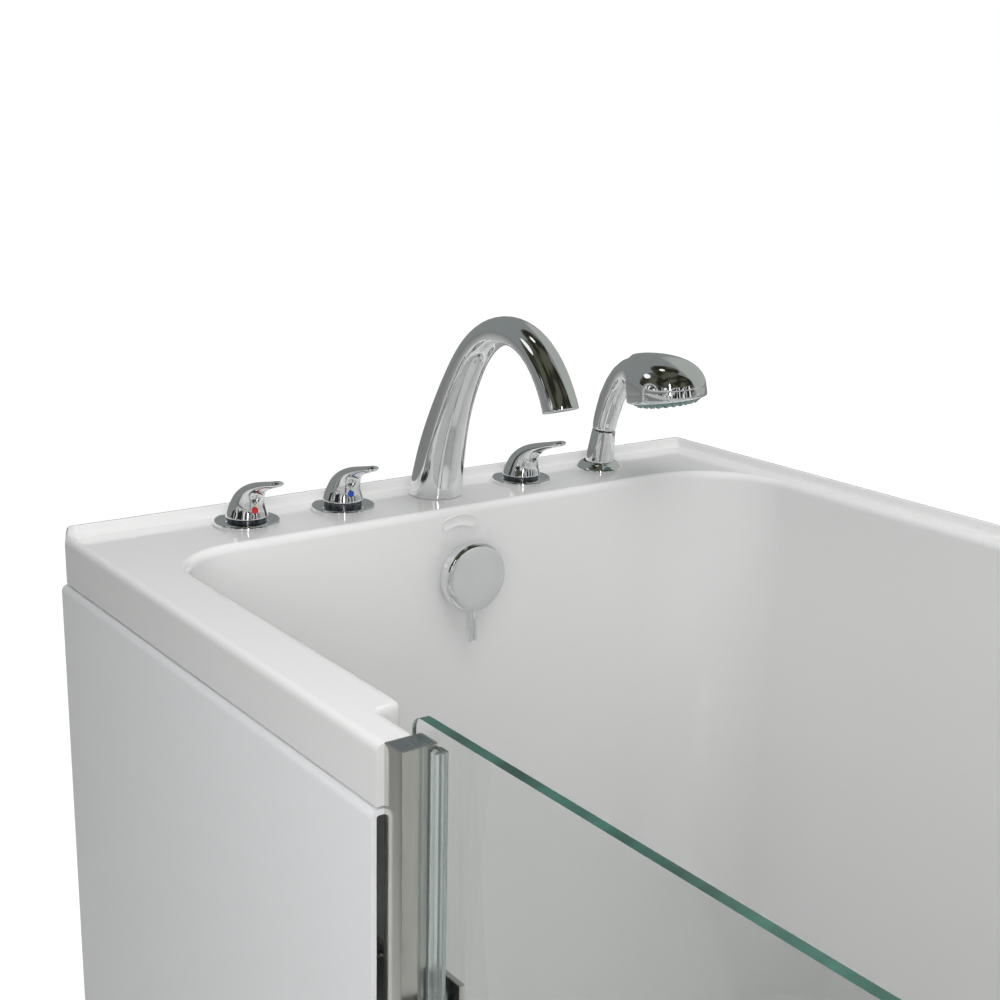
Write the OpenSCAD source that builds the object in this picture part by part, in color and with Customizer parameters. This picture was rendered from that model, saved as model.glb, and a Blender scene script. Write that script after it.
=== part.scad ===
// Walk-in bathtub with an inward-opening glass door, deck taps and a cable-worked waste.
// Units are millimetres. +X runs along the tub from the tap end to the seat end, +Y from the
// front (door side) to the back, +Z up. The origin is on the floor, under the middle of the tub.

/* [Tub] */
// Length over the rim
tub_l = 1524; // [1480:2:1640]
// Width over the rim, without the apron's proud face
rim_w = 762; // [740:1:820]
// Height of the deck above the floor
deck_h = 965; // [940:1:1020]
// Thickness of the moulded shell
shell_t = 6; // [4:0.5:7]
// Deck width at the tap end
deck_tap = 106; // [100:1:130]
// Deck width along the front
deck_front = 54; // [50:1:62]
// Deck width along the back
deck_back = 26; // [24:1:40]
// Deck width at the seat end
deck_seat = 56; // [50:1:80]
// Height of the tiling lip along the two ends and the back
lip_h = 10; // [6:0.5:12]
// Width of the tiling lip
lip_w = 5; // [4:0.5:6]
// Depth of the rim's skirt below the deck
skirt_h = 44; // [40:1:60]
// Radius of the rim's rounding into the basin
rim_r = 8; // [4:0.5:10]
// Corner radius of the basin at the back
corner_back = 100; // [70:5:110]
// Corner radius of the basin at the front
corner_front = 65; // [50:5:75]
// Slope of the back wall from top to floor
draft_back = 20; // [8:1:30]

/* [Seat and foot well] */
// Height of the seat above the floor
seat_h = 432; // [400:1:460]
// Front edge of the seat, from the tap end
seat_x = 1040; // [1034:1:1070]
// How far the backrest leans back between the seat and the rim
backrest_lean = 42; // [20:1:70]
// Fall of the seat towards the foot well
seat_fall = 7; // [2:1:10]
// Height of the foot well's floor above the ground, at its edge
floor_h = 110; // [104:1:130]
// Fall of the floor to the waste
floor_fall = 6; // [3:0.5:8]
// Distance of the waste from the tap end
waste_x = 232; // [210:1:300]

/* [Door] */
// Left edge of the door frame, from the tap end
door_x = 554; // [540:1:570]
// Clear width between the frame's posts
door_w = 400; // [380:1:405]
// Width of the frame tube, seen from the front
tube_w = 20; // [16:1:22]
// Depth of the frame tube
tube_d = 29; // [24:1:29]
// Distance of the frame tube behind the rim's front edge
tube_y = 5; // [2:0.5:5]
// Wall of the frame tube
tube_wall = 1.5; // [1:0.25:2.5]
// Height of the door sill's top above the floor
sill_h = 178; // [170:1:200]
// Thickness of the glass leaf
glass_t = 8; // [6:1:10]
// How far the leaf laps over the frame and shell beside the opening
glass_lap = 13; // [10:0.5:13]
// Height of the leaf's top above the deck
glass_up = 8; // [2:1:12]
// Width of the gasket's face
gasket_w = 12; // [8:1:14]
// Left end of the recess that the leaf sits in, from the tap end
recess_x = 502; // [490:1:508]

/* [Taps] */
// Distance of the tap row from the tap end
tap_x = 48; // [47:1:56]
// Middle of the tap row, behind the rim's front edge
tap_mid = 382; // [378:1:390]
// Spacing of the five deck fittings
tap_gap = 109.4; // [100:0.2:112]
// Radius of the three tap escutcheons
esc_r = 31.8; // [28:0.2:33]
// Radius of a tap handle's base
handle_r = 21; // [18:0.5:22]
// Reach of a handle's lever from its axis
lever_l = 61; // [50:1:70]
// Radius of the spout's foot
spout_r = 28.5; // [24:0.5:30]
// Reach of the spout, from its foot's axis to its outlet
spout_reach = 203; // [170:1:230]
// Height of the spout's crown above the deck
spout_h = 203; // [170:1:225]
// Radius of the shower head
head_r = 43.5; // [34:0.5:45]
// Turn of the hand shower and its holder about the upright, from the spout's direction
shower_turn = 13; // [0:1:25]
// Lean of the hand shower and its holder from the upright
shower_lean = 6.5; // [0:0.5:8]

/* [Waste and overflow] */
// Depth of the overflow's centre below the deck
over_z = 72; // [66:1:90]
// Radius of the overflow knob
knob_r = 36.5; // [30:0.5:37]
// Lift of the waste stopper
stopper_lift = 10; // [6:0.5:12]
// Outer radius of the waste pipes
pipe_r = 19.05; // [16:0.05:20]

/* [Base] */
// Size of the square frame tubes
bar = 30; // [25:1:34]
// Thickness of the board under the foot well's floor
board_t = 15; // [12:1:18]

/* [Hidden] */
$fn = 48;

// Clearances
fit = 0.05;            // radial clearance of a pin or spindle in its bore
gap = 0.3;             // gap between pieces that move past each other
seat_gap = 0.2;        // gap between a fixed piece and the hole that it passes through

// Outer limits
apron_proud = 4;
apron_t = 4;
apron_gap = 2;
xe = -tub_l / 2;                          // tap end
xr = tub_l / 2;                           // seat end
yf = -(rim_w + apron_proud) / 2 + apron_proud;   // front of the rim
yb = yf + rim_w;                          // back of the rim
edge_r = 7;                               // rounding of the deck's outer edge
cove_w = 8;                               // width of the fillet at the foot of the lip
rim_corner = 4;                           // radius of the rim's corners, seen from above

// Basin
recess_y = deck_front - 22;               // face of the recess, behind the rim's front edge
step_l = 9;                               // corner radii of the recess at its left end
step_r = 4;                               // and at its right end
leaf_x0 = door_x - glass_lap;
leaf_x1 = door_x + 2 * tube_w + door_w + glass_lap;
recess_end = leaf_x1 + 9;
seat_z = seat_h - deck_h;
floor_z = floor_h - deck_h;
nose_r = 25;
floor_r = 30;
bend_r = 48;                              // fillet between backrest and seat
under_z = floor_z - floor_fall - shell_t; // flat underside of the floor
bar_top = deck_h + under_z - board_t;     // the frame's rails carry the board under the floor
bar_z = bar_top - bar;
seat_under_z = seat_z - shell_t - 1;
seat_back = deck_seat + backrest_lean;    // inset of the backrest's foot
nose_in = tub_l - seat_x;                 // inset of the seat's front edge
well_r = 12;                              // front right corner radius of the foot well
well_back = 30;                           // how much tighter its back right corner is
waste_r = 26;
waste_dish_r = 64;
waste_y = yf + tap_mid;                   // the overflow and waste share the row's middle
cold_in = 3.3;                            // the cold tap stands this much nearer the hot one
row_y = [for (i = [-2:2]) waste_y + i * tap_gap - (i == -1 ? cold_in : 0)];
tap_px = xe + tap_x;

// Door
sill_z = sill_h - deck_h;
door_x1 = door_x + 2 * tube_w + door_w;
post_y0 = yf + tube_y;
post_y1 = post_y0 + tube_d;
glass_y0 = post_y1 + 1;
glass_y1 = glass_y0 + glass_t;
glass_z0 = sill_z - tube_w - glass_lap + 1;
hinge_zs = [-200, -640];
pin_r = 4;
barrel_r = 7;
axis_x = xe + leaf_x0 - 10;
axis_y = glass_y1 + 6;
barrel_h = 70;
leaf_h = 27.4;
plate_t = 3;
latch_z = -325;
latch_x = xe + door_x1 - 9;
tongue_l = 52;
tongue_y0 = glass_y1 + 15;
tongue_t = 6;
spindle_r = 5;

// Taps
shank_r = 14;
hole_r = shank_r + 1;
esc_h = 5;
ring_h = [2.4, 4.4, 0, 2.4];              // of the rings, in the row's order
hot_turn = 5.5;
cold_turn = 2;
spin_r = 4;
spin_top = 24;
body_r = 19;
hex_r = body_r + 3;
body_top = -45;
body_bot = -85;
inlet_r = 10.475;
inlet_l = 20;
tube_r = 7.5;
index_turn = -8;
div_turn = 14;
function handle_z(i) = esc_h + ring_h[i] + gap;

// Waste and overflow
over_x = xe + deck_tap;
dish_d = 2;
over_hole_r = 25.2;
over_neck_r = 24.8;
pipe_x = xe + 74.5;
pipe_in_r = pipe_r - 2.5;
run_z = 60 - deck_h;
socket_r = pipe_r + 3;

// ---------------------------------------------------------------------------------------------
// Lofts: a list of closed rings with the same number of points, joined ring to ring

function ring_faces(rings, pts, wrap) = [
  for (i = [0 : rings - (wrap ? 1 : 2)], j = [0 : pts - 1])
    let (a = i * pts, b = ((i + 1) % rings) * pts, k = (j + 1) % pts)
    each [[a + j, b + j, b + k], [a + j, b + k, a + k]]
];
function end_faces(rings, pts) = [
  [for (j = [0 : pts - 1]) j],
  [for (j = [pts - 1 : -1 : 0]) (rings - 1) * pts + j]
];
module loft(rings, wrap = false) {
  n = len(rings[0]);
  polyhedron(
    points = [for (r = rings) each r],
    faces = concat(ring_faces(len(rings), n, wrap), wrap ? [] : end_faces(len(rings), n)),
    convexity = 10
  );
}

// Smooth curve through a list of stations, each a list of numbers
function spline(p, steps) = [
  for (i = [0 : len(p) - 2], s = [0 : steps - 1])
    let (
      a = p[max(i - 1, 0)], b = p[i], c = p[i + 1], d = p[min(i + 2, len(p) - 1)], t = s / steps
    )
    b + t * (c - a) / 2 + t * t * (a - 2.5 * b + 2 * c - d / 2)
      + t * t * t * ((d - a) / 2 + 1.5 * (b - c)),
  p[len(p) - 1]
];

// One oval section in the XZ plane's frame: [x, z, heading, half width in Y, half thickness]
function oval(s, n) = [
  for (k = [0 : n - 1])
    let (t = 360 * k / n, m = s[4] * sin(t))
    [s[0] - m * sin(s[2]), s[3] * cos(t), s[1] + m * cos(s[2])]
];
module oval_sweep(stations, steps, n) {
  loft([for (s = spline(stations, steps)) oval(s, n)]);
}

// ---------------------------------------------------------------------------------------------
// Outlines of the shell, seen from above, anticlockwise from the front left corner

arc_n = 7;
function corner(cx, cy, r, a0) = [
  for (k = [0 : arc_n]) [cx + r * cos(a0 + 90 * k / arc_n), cy + r * sin(a0 + 90 * k / arc_n)]
];
// The recess's step, as two small arcs: down (towards the front) or up again. Where the recess has
// no depth d, the same points lie evenly on the line.
function step_arcs(x, y, d, r, up) = [
  for (k = [0 : 7])
    let (near = k < 4, a = 30 * (near ? k : 7 - k), s = near ? 0 : 1, v = 0.45 * (1 - cos(a)))
    d > 0
      ? [x + (near ? -1 : 1) * r * (1 - 0.98 * sin(a)), y - d * (up ? 1 - abs(s - v) : abs(s - v))]
      : [x + r * (2 * k / 7 - 1), y]
];
// l, r, f, b: how far the outline lies inside the rim's rectangle. radii: of the corners, from the
// front left one round. d: depth of the recess, o: how much wider it is at each end.
function outline(l, r, f, b, radii, d, o = 0) =
  let (
    x0 = xe + l, x1 = xr - r, y0 = yf + f, y1 = yb - b,
    step_x = min(xe + recess_end + o, x1 - radii[1] - step_r - 0.5)
  )
  concat(
    corner(x0 + radii[0], y0 + radii[0], radii[0], 180),
    step_arcs(xe + recess_x - o, y0, d, step_l, false),
    step_arcs(step_x, y0, d, step_r, true),
    corner(x1 - radii[1], y0 + radii[1], radii[1], 270),
    corner(x1 - radii[2], y1 - radii[2], radii[2], 0),
    corner(x0 + radii[3], y1 - radii[3], radii[3], 90)
  );
function lift(path, z) = [for (p = path) [p[0], p[1], z]];
// 1 along the sides that carry the lip, 0 along the front, changing round the front corners
lip_share = concat(
  [for (k = [0 : arc_n]) 1 - k / arc_n],
  [for (k = [0 : 15]) 0],
  [for (k = [0 : arc_n]) k / arc_n],
  [for (k = [0 : 2 * arc_n + 1]) 1]
);
function even(i) = outline(i, i, i, i, [for (k = [1:4]) rim_corner + i / 2], 0);
// A ring near the rim's edge: inset and height at the front, and along the lip
function edge_ring(fi, fz, li, lz) =
  let (a = lift(even(fi), fz), b = lift(even(li), lz))
  [for (i = [0 : len(a) - 1]) a[i] * (1 - lip_share[i]) + b[i] * lip_share[i]];
// A ring of the basin's wall at height z. e: inset from the wall's face, o: offset into the shell,
// r: inset at the seat end, low: true below the seat.
function wall_ring(z, e, o, r, low, zd = undef) =
  let (
    zz = is_undef(zd) ? z : zd,
    fade = z > floor_z + floor_r ? 1 : max(0, (z - floor_z) / floor_r),
    back = deck_back + draft_back * zz / floor_z
  )
  lift(
    outline(
      deck_tap + e - o, r, deck_front + e - o, back + e - o,
      [
        corner_front + o - e, low ? well_r + o : corner_front + o - e,
        corner_back - (low ? well_back : 0) + o - e, corner_back + o - e
      ],
      (deck_front - recess_y) * fade, o
    ), z
  );
function rim_arc(r, steps, up) = [
  for (k = [0 : steps])
    let (a = 90 * (up ? k : steps - k) / steps)
    wall_ring(-rim_r + r * cos(a), -rim_r + r * sin(a), 0, deck_seat - rim_r + r * sin(a), false, 0)
];
// Lowest rings, round about the waste: each point lies about where the floor's outline points,
// turned a quarter of the way to an even spacing
function bearing(p) = atan2(p[1] - waste_y, p[0] - xe - waste_x);
function waste_ring(path, radius, z) = [
  for (k = [0 : len(path) - 1])
    let (
      a0 = bearing(path[0]), turn = (bearing(path[k]) - a0 + 720) % 360,
      a = a0 + 0.75 * turn + 0.25 * 360 * k / len(path)
    )
    [xe + waste_x + radius * cos(a), waste_y + radius * sin(a), z]
];

floor_path = outline(
  deck_tap + floor_r, nose_in + floor_r, deck_front + floor_r, deck_back + draft_back + floor_r,
  [corner_front - floor_r, well_r, corner_back - well_back - floor_r, corner_back - floor_r], 0
);
bend_z = seat_z + seat_fall + bend_r;     // height of the fillet's centre above the seat
// Upper face, from the foot of the skirt over the rim and down to the waste
upper_rings = concat(
  [
    edge_ring(0, -skirt_h, 0, -skirt_h),
    edge_ring(0, -edge_r, 0, -edge_r),
    edge_ring(0.13 * edge_r, -0.5 * edge_r, 0.2, lip_h - 2),
    edge_ring(0.5 * edge_r, -0.13 * edge_r, 1.6, lip_h),
    edge_ring(edge_r, 0, lip_w - 1, lip_h - 0.3),
    edge_ring(edge_r + 1, 0, lip_w, lip_h - 1.5),
    edge_ring(edge_r + 2, 0, lip_w + 1.5, 0.32 * lip_h),
    edge_ring(edge_r + 4, 0, lip_w + 4, 0.09 * lip_h),
    edge_ring(edge_r + 7, 0, lip_w + cove_w, 0)
  ],
  rim_arc(rim_r, 4, true),
  [for (k = [0 : 4]) let (a = 22.5 * k)
    wall_ring(bend_z - bend_r * sin(a), 0, 0, seat_back + bend_r * (1 - cos(a)), false)],
  [for (k = [0 : 4]) let (a = 22.5 * k)
    wall_ring(seat_z - nose_r * (1 - cos(a)), 0, 0, nose_in - nose_r * (1 - sin(a)), true)],
  [for (k = [0 : 3]) let (a = 30 * k)
    wall_ring(floor_z + floor_r * (1 - sin(a)), floor_r * (1 - cos(a)), 0,
      nose_in + floor_r * (1 - cos(a)), true, floor_z)],
  [
    waste_ring(floor_path, waste_dish_r, floor_z - floor_fall),
    waste_ring(floor_path, waste_r - 6, floor_z - floor_fall)
  ]
);
// Under face, back out to the skirt
lower_rings = concat(
  [
    waste_ring(floor_path, waste_r - 6, under_z),
    waste_ring(floor_path, waste_dish_r, under_z)
  ],
  [for (k = [2 : -1 : 0]) let (a = 45 * k, q = floor_r + shell_t)
    wall_ring(floor_z + floor_r - (floor_z + floor_r - under_z) * sin(a), q * (1 - cos(a)) - shell_t,
      0, nose_in - shell_t + q * (1 - cos(a)), true, floor_z)],
  [for (k = [3 : -1 : 0]) let (a = 30 * k, q = nose_r - shell_t)
    wall_ring(seat_under_z - 0.4 - q * (1 - cos(a)), 0, shell_t, nose_in - nose_r + q * sin(a), true)],
  [for (k = [3 : -1 : 0]) let (a = 30 * k, q = bend_r + shell_t)
    wall_ring(bend_z - (bend_z - seat_under_z) * sin(a), 0, shell_t,
      seat_back + bend_r - q * cos(a), false)],
  rim_arc(max(rim_r - shell_t, 0.5), 1, false),
  [
    edge_ring(shell_t, -shell_t, shell_t, -shell_t),
    edge_ring(shell_t, -skirt_h, shell_t, -skirt_h)
  ]
);

// ---------------------------------------------------------------------------------------------
// Small shapes used by several pieces

module at(x, y, z) {
  translate([x, y, deck_h + z]) children();
}
module box(x0, x1, y0, y1, z0, z1) {
  translate([x0, y0, deck_h + z0]) cube([x1 - x0, y1 - y0, z1 - z0]);
}
module tube(r, ri, h) {
  difference() {
    cylinder(r = r, h = h);
    translate([0, 0, -1]) cylinder(r = ri, h = h + 2);
  }
}
module soft_rect(w, h, r) {
  union() {
    translate([r, 0]) square([w - 2 * r, h]);
    translate([0, r]) square([w, h - 2 * r]);
    for (x = [r, w - r], y = [r, h - r]) translate([x, y]) circle(r = r);
  }
}
module hex(r, h) {
  cylinder(r = r, h = h, $fn = 6);
}

// ---------------------------------------------------------------------------------------------
// The tub

module tub_shell() {
  color("white") difference() {
    translate([0, 0, deck_h]) loft(concat(upper_rings, lower_rings), true);
    // Door opening, from the sill up through the rim
    box(xe + door_x - seat_gap, xe + door_x1 + seat_gap, yf - 20, yf + recess_y + 6,
      sill_z - tube_w - seat_gap, lip_h + 20);
    for (y = row_y) at(tap_px, y, -20) cylinder(r = hole_r, h = 40);
    at(over_x - 40, waste_y, -over_z) rotate([0, 90, 0]) cylinder(r = over_hole_r, h = 60);
    at(over_x - dish_d, waste_y, -over_z) rotate([0, 90, 0])
      cylinder(r1 = knob_r + 1.5, r2 = knob_r + 30, h = dish_d + 1);
    at(xe + waste_x, waste_y, under_z - 10) cylinder(r = waste_r, h = 40);
    bracket_bores();
  }
}

apron_top = -skirt_h - apron_gap;
apron_z0 = 12;
lip_in = 16;
apron_in = yf - apron_proud + lip_in + apron_t;  // how far in the apron's turned edges reach
module apron_section() {
  h = deck_h + apron_top - apron_z0;
  difference() {
    soft_rect(lip_in + 8, h, 6);
    translate([apron_t, apron_t]) soft_rect(lip_in + 8, h - 2 * apron_t, 2);
    translate([lip_in + apron_t, -1]) square([20, h + 2]);
  }
}
module front_apron() {
  color("whitesmoke") difference() {
    union() {
      translate([xe, yf - apron_proud, apron_z0]) rotate([90, 0, 90])
        linear_extrude(tub_l) apron_section();
      for (x = [xe, xr - apron_t])
        translate([x, yf - apron_proud + 2, apron_z0 + 2])
          cube([apron_t, lip_in, deck_h + apron_top - apron_z0 - 4]);
    }
    box(xe + door_x - seat_gap, xe + door_x1 + seat_gap, yf - 20, yf + 60,
      sill_z - tube_w - seat_gap, 20);
  }
}

rail_y0 = yf + 10;
rail_y1 = yb - 42;
bar_wall = 2.5;
leg = 25;
leg_in = 14;                              // how far the frame stays inside the skirt
seat_leg_x = seat_x + 140;
cross_x = [leg_in, 300, door_x + 86, seat_x - 55, seat_leg_x, tub_l - leg_in - leg];
clip_x = [120, door_x - 134, door_x1 + 126, tub_l - 164];
seat_beam_z = seat_under_z - 0.3 - leg;
beam_in = 100;                            // the beam's ends, inside the rim's edges
// Square tube, open at both ends of direction d (0, 1 or 2)
module square_tube(size, d) {
  difference() {
    cube(size);
    translate([for (i = [0 : 2]) i == d ? -1 : bar_wall])
      cube([for (i = [0 : 2]) size[i] + (i == d ? 2 : -2 * bar_wall)]);
  }
}
foot_in = 92;                             // the end feet, inside the rim's edges
foot_at = [for (x = [xe + foot_in, xe + door_x + 136, xr - foot_in], y = [rail_y0, rail_y1])
  [x, y + bar / 2]];
stud_r = 6;
stud_up = 12;                             // the studs stand this far into the rails
module base_rails() {
  color("silver") difference() {
    for (y = [rail_y0, rail_y1]) translate([xe + leg_in, y, bar_z])
      square_tube([tub_l - 2 * leg_in, bar, bar], 0);
    for (p = foot_at) translate([p[0], p[1], bar_z - 1]) cylinder(r = stud_r + fit, h = bar / 2);
  }
}
module base_crossbars() {
  color("silver") for (x = cross_x) translate([xe + x, rail_y0 + bar, bar_z])
    square_tube([leg, rail_y1 - rail_y0 - bar, bar], 1);
}
module frame_uprights() {
  color("silver") {
    // Under the four corners of the deck
    for (x = [xe + leg_in, xr - leg_in - leg], y = [apron_in + 1, rail_y1 + 3])
      translate([x, y, bar_top]) square_tube([leg, leg, deck_h - shell_t - bar_top], 2);
    // Under the door sill
    for (x = [door_x, door_x1 - tube_w]) translate([xe + x, rail_y0, bar_top])
      square_tube([tube_w, 12, deck_h + sill_z - tube_w - bar_top], 2);
    // Under the beam that carries the seat
    for (y = [yf + beam_in + 10, yb - beam_in - 10 - leg])
      translate([xe + seat_leg_x, y, bar_top])
        square_tube([leg, leg, deck_h + seat_beam_z - bar_top], 2);
  }
}
module seat_beam() {
  color("silver") translate([xe + seat_leg_x, yf + beam_in, deck_h + seat_beam_z])
    square_tube([leg, rim_w - 2 * beam_in, leg], 1);
}

module apron_clips() {
  color("gray") for (x = clip_x) translate([xe + x, yf, bar_z + 4]) {
    difference() {
      cube([40, 10, 22]);
      translate([-1, 3, 3]) cube([42, 4, 20]);
    }
  }
}

board_x0 = deck_tap + floor_r + 14;
board_x1 = seat_x - floor_r - 10;
board_in = 90;
module base_board() {
  color("burlywood") difference() {
    translate([xe + board_x0, yf + board_in, bar_top])
      cube([board_x1 - board_x0, rim_w - 2 * board_in, board_t]);
    translate([xe + waste_x, waste_y, 0]) cylinder(r = waste_dish_r + 6, h = 200);
  }
}

module foot_studs() {
  color("silver") for (p = foot_at) translate([p[0], p[1], 8]) {
    cylinder(r = stud_r, h = bar_z + stud_up - 8);
    translate([0, 0, -4]) cylinder(r1 = 4, r2 = stud_r, h = 4);
  }
}
pad_r = 22;
pad_h = 5;
module foot_pads() {
  color("dimgray") for (p = foot_at) translate(p) difference() {
    union() {
      cylinder(r = pad_r, h = pad_h);
      translate([0, 0, pad_h]) cylinder(r1 = pad_r - 2, r2 = stud_r + 4, h = pad_h + 1);
    }
    translate([0, 0, 4]) cylinder(r1 = 4.05, r2 = stud_r + fit, h = 4);
    translate([0, 0, 8]) cylinder(r = stud_r + fit, h = pad_h + 5);
  }
}
module foot_locknuts() {
  color("silver") for (p = foot_at) translate([p[0], p[1], bar_z - 10]) difference() {
    hex(11, 10);
    translate([0, 0, -1]) cylinder(r = stud_r + fit, h = 12);
  }
}

// ---------------------------------------------------------------------------------------------
// The door

cap_t = 2;
module post_section() {
  soft_rect(tube_w, tube_d, 1.5);
}
module door_frame() {
  h = -(sill_z - tube_w);
  color("lightsteelblue") difference() {
    union() {
      for (x = [door_x, door_x1 - tube_w])
        at(xe + x, post_y0, sill_z - tube_w) linear_extrude(h) post_section();
      at(xe + door_x + 2, post_y0, sill_z - tube_w)
        cube([door_x1 - door_x - 4, tube_d, tube_w]);
      // Plates behind the shell that the hinge brackets are screwed to
      for (z = hinge_zs)
        at(xe + recess_x + 6, yf + recess_y - shell_t - 4.1, z - barrel_h / 2)
          cube([door_x - recess_x - 4, 4, barrel_h]);
    }
    for (x = [door_x, door_x1 - tube_w])
      at(xe + x + tube_wall, post_y0 + tube_wall, sill_z + 1)
        cube([tube_w - 2 * tube_wall, tube_d - 2 * tube_wall, h]);
    bracket_bores();
  }
}
module post_caps() {
  color("silver") for (x = [door_x, door_x1 - tube_w])
    at(xe + x + tube_wall + fit, post_y0 + tube_wall + fit, -cap_t)
      cube([tube_w - 2 * tube_wall - 2 * fit, tube_d - 2 * tube_wall - 2 * fit, cap_t]);
}
module door_gasket() {
  d = 10;
  y0 = glass_y0 - gap - d;
  color("aliceblue") union() {
    for (x = [door_x + tube_w, door_x1 - tube_w - gasket_w])
      at(xe + x, y0, sill_z) linear_extrude(-sill_z - 2) soft_rect(gasket_w, d, 2.5);
    at(xe + door_x + tube_w, y0, sill_z + gasket_w) rotate([0, 90, 0])
      linear_extrude(door_w) soft_rect(gasket_w, d, 2.5);
  }
}

// Screws of a bracket: two through each hinge plate, two through the keeper
bracket_x0 = xe + recess_x + step_l + 1.5;     // the plates start clear of the recess's corner
bracket_x = (bracket_x0 + axis_x - barrel_r) / 2;
keeper_x0 = xe + recess_end + step_r + 2;
keeper_x1 = keeper_x0 + 28;
screw_r = 2.5;
module bracket_holes() {
  for (z = hinge_zs, s = [-1, 1]) at(bracket_x, yf + recess_y + plate_t, z + s * 24) children();
  for (s = [-1, 1]) at((keeper_x0 + keeper_x1) / 2 + 2, yf + deck_front + plate_t, latch_z + s * 15)
    children();
}
module bracket_bores() {
  bracket_holes() rotate([90, 0, 0]) translate([0, 0, -0.01]) {
    translate([0, 0, -5]) cylinder(r = screw_r + fit, h = 30);
    cylinder(r1 = 4.8 + fit, r2 = screw_r + fit, h = 2.4);
  }
}
module bracket_screws() {
  color("silver") bracket_holes() rotate([90, 0, 0]) {
    cylinder(r1 = 4.8, r2 = screw_r, h = 2.3);
    cylinder(r = screw_r, h = 16);
  }
}

module barrel(z, h) {
  at(axis_x, axis_y, z - h / 2) cylinder(r = barrel_r, h = h);
}
module hinge_brackets() {
  ear = (barrel_h - leaf_h) / 2 - gap;
  plate_y = yf + recess_y;
  color("silver") difference() {
    for (z = hinge_zs) union() {
      at(bracket_x0, plate_y, z - barrel_h / 2)
        cube([axis_x + 2 - bracket_x0, plate_t, barrel_h]);
      for (s = [-1, 1]) {
        barrel(z + s * (barrel_h - ear) / 2, ear);
        at(axis_x - barrel_r, plate_y, z + s * (barrel_h - ear) / 2 - ear / 2)
          cube([barrel_r, axis_y - plate_y, ear]);
      }
    }
    for (z = hinge_zs) at(axis_x, axis_y, z - barrel_h) cylinder(r = pin_r, h = 2 * barrel_h);
    bracket_bores();
  }
}
module hinge_pins() {
  color("silver") for (z = hinge_zs) at(axis_x, axis_y, z - barrel_h / 2 - 2) {
    cylinder(r = pin_r, h = barrel_h + 2);
    translate([0, 0, -1]) cylinder(r = barrel_r - 1, h = 3);
  }
}
module hinge_leaves() {
  color("silver") difference() {
    for (z = hinge_zs) union() {
      barrel(z, leaf_h);
      at(axis_x, glass_y1, z - leaf_h / 2) cube([20, 5, leaf_h]);
      at(axis_x + barrel_r + 8, glass_y1, z - barrel_h / 2) cube([50, 5, barrel_h]);
    }
    for (z = hinge_zs) at(axis_x, axis_y, z - barrel_h) cylinder(r = pin_r + fit, h = 2 * barrel_h);
    hinge_bolt_places() translate([0, 0, -1]) cylinder(r = 3 + fit, h = 30);
  }
}
module hinge_bolt_places() {
  for (z = hinge_zs, s = [-1, 1])
    at(axis_x + barrel_r + 40, glass_y0 + 0.2, z + s * 20) rotate([-90, 0, 0]) children();
}
module hinge_bolts() {
  color("silver") hinge_bolt_places() {
    cylinder(r1 = 8, r2 = 5, h = 4);
    cylinder(r = 3, h = glass_t + 9);
    translate([0, 0, glass_t + 4.8]) cylinder(r = 6, h = 3);
  }
}
module door_glass() {
  w = leaf_x1 - leaf_x0;
  h = glass_up - glass_z0;
  color("lightcyan", 0.5) difference() {
    at(xe + leaf_x0, glass_y1, glass_z0) rotate([90, 0, 0]) linear_extrude(glass_t)
      soft_rect(w, h, 10);
    hinge_bolt_places() {
      translate([0, 0, -1]) cylinder(r = 5 + fit, h = 30);
      translate([0, 0, -0.3]) cylinder(r1 = 8.3 + fit, r2 = 5 + fit, h = 4.4);
    }
    at(latch_x, glass_y0 - 1, latch_z) rotate([-90, 0, 0]) cylinder(r = 8 + fit, h = 30);
  }
}

latch_base_h = 8;
module latch_axis(y) {
  at(latch_x, y, latch_z) rotate([-90, 0, 0]) children();
}
module latch_base() {
  color("silver") difference() {
    union() {
      latch_axis(glass_y0 + 0.3) cylinder(r = 8, h = glass_t);
      latch_axis(glass_y1) cylinder(r = 17, h = latch_base_h - 1.5);
      latch_axis(glass_y1 + latch_base_h - 1.5) cylinder(r1 = 17, r2 = 15.5, h = 1.5);
    }
    latch_axis(glass_y0 + 3) cylinder(r = spindle_r + fit, h = 30);
  }
}
module latch_lever() {
  hub_y = glass_y1 + latch_base_h + gap;
  color("silver") union() {
    latch_axis(glass_y0 + 4) cylinder(r = spindle_r, h = hub_y - glass_y0 - 2);
    latch_axis(hub_y) cylinder(r = 13, h = 22);
    // Tongue, upright while the latch is open
    at(latch_x - 8, tongue_y0, latch_z) cube([16, tongue_t, tongue_l - 8]);
    at(latch_x, tongue_y0, latch_z + tongue_l - 8) rotate([-90, 0, 0]) cylinder(r = 8, h = tongue_t);
    // Handle, hanging down
    at(latch_x - 9, hub_y + 12, latch_z - 95) cube([18, 9, 95]);
    at(latch_x, hub_y + 12, latch_z - 95) rotate([-90, 0, 0]) cylinder(r = 9, h = 9);
  }
}
keeper_h = 44;
module latch_keeper() {
  y0 = yf + deck_front;
  lip_y = tongue_y0 + tongue_t + 3;
  color("silver") difference() {
    union() {
      at(keeper_x0, y0, latch_z - keeper_h / 2) cube([keeper_x1 - keeper_x0, plate_t, keeper_h]);
      at(keeper_x1 - 4, y0, latch_z - keeper_h / 2) cube([4, lip_y + 4 - y0, keeper_h]);
      at(keeper_x0 - 4, lip_y, latch_z - keeper_h / 2) cube([keeper_x1 - keeper_x0 + 4, 4, keeper_h]);
    }
    bracket_bores();
  }
}
module keeper_backing() {
  color("silver") difference() {
    at(keeper_x0 + 5, yf + deck_front - shell_t - 4.1, latch_z - keeper_h / 2)
      cube([keeper_x1 - keeper_x0 - 5, 4, keeper_h]);
    bracket_bores();
  }
}

// ---------------------------------------------------------------------------------------------
// Taps: hot, cold and diverter are alike

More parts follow.
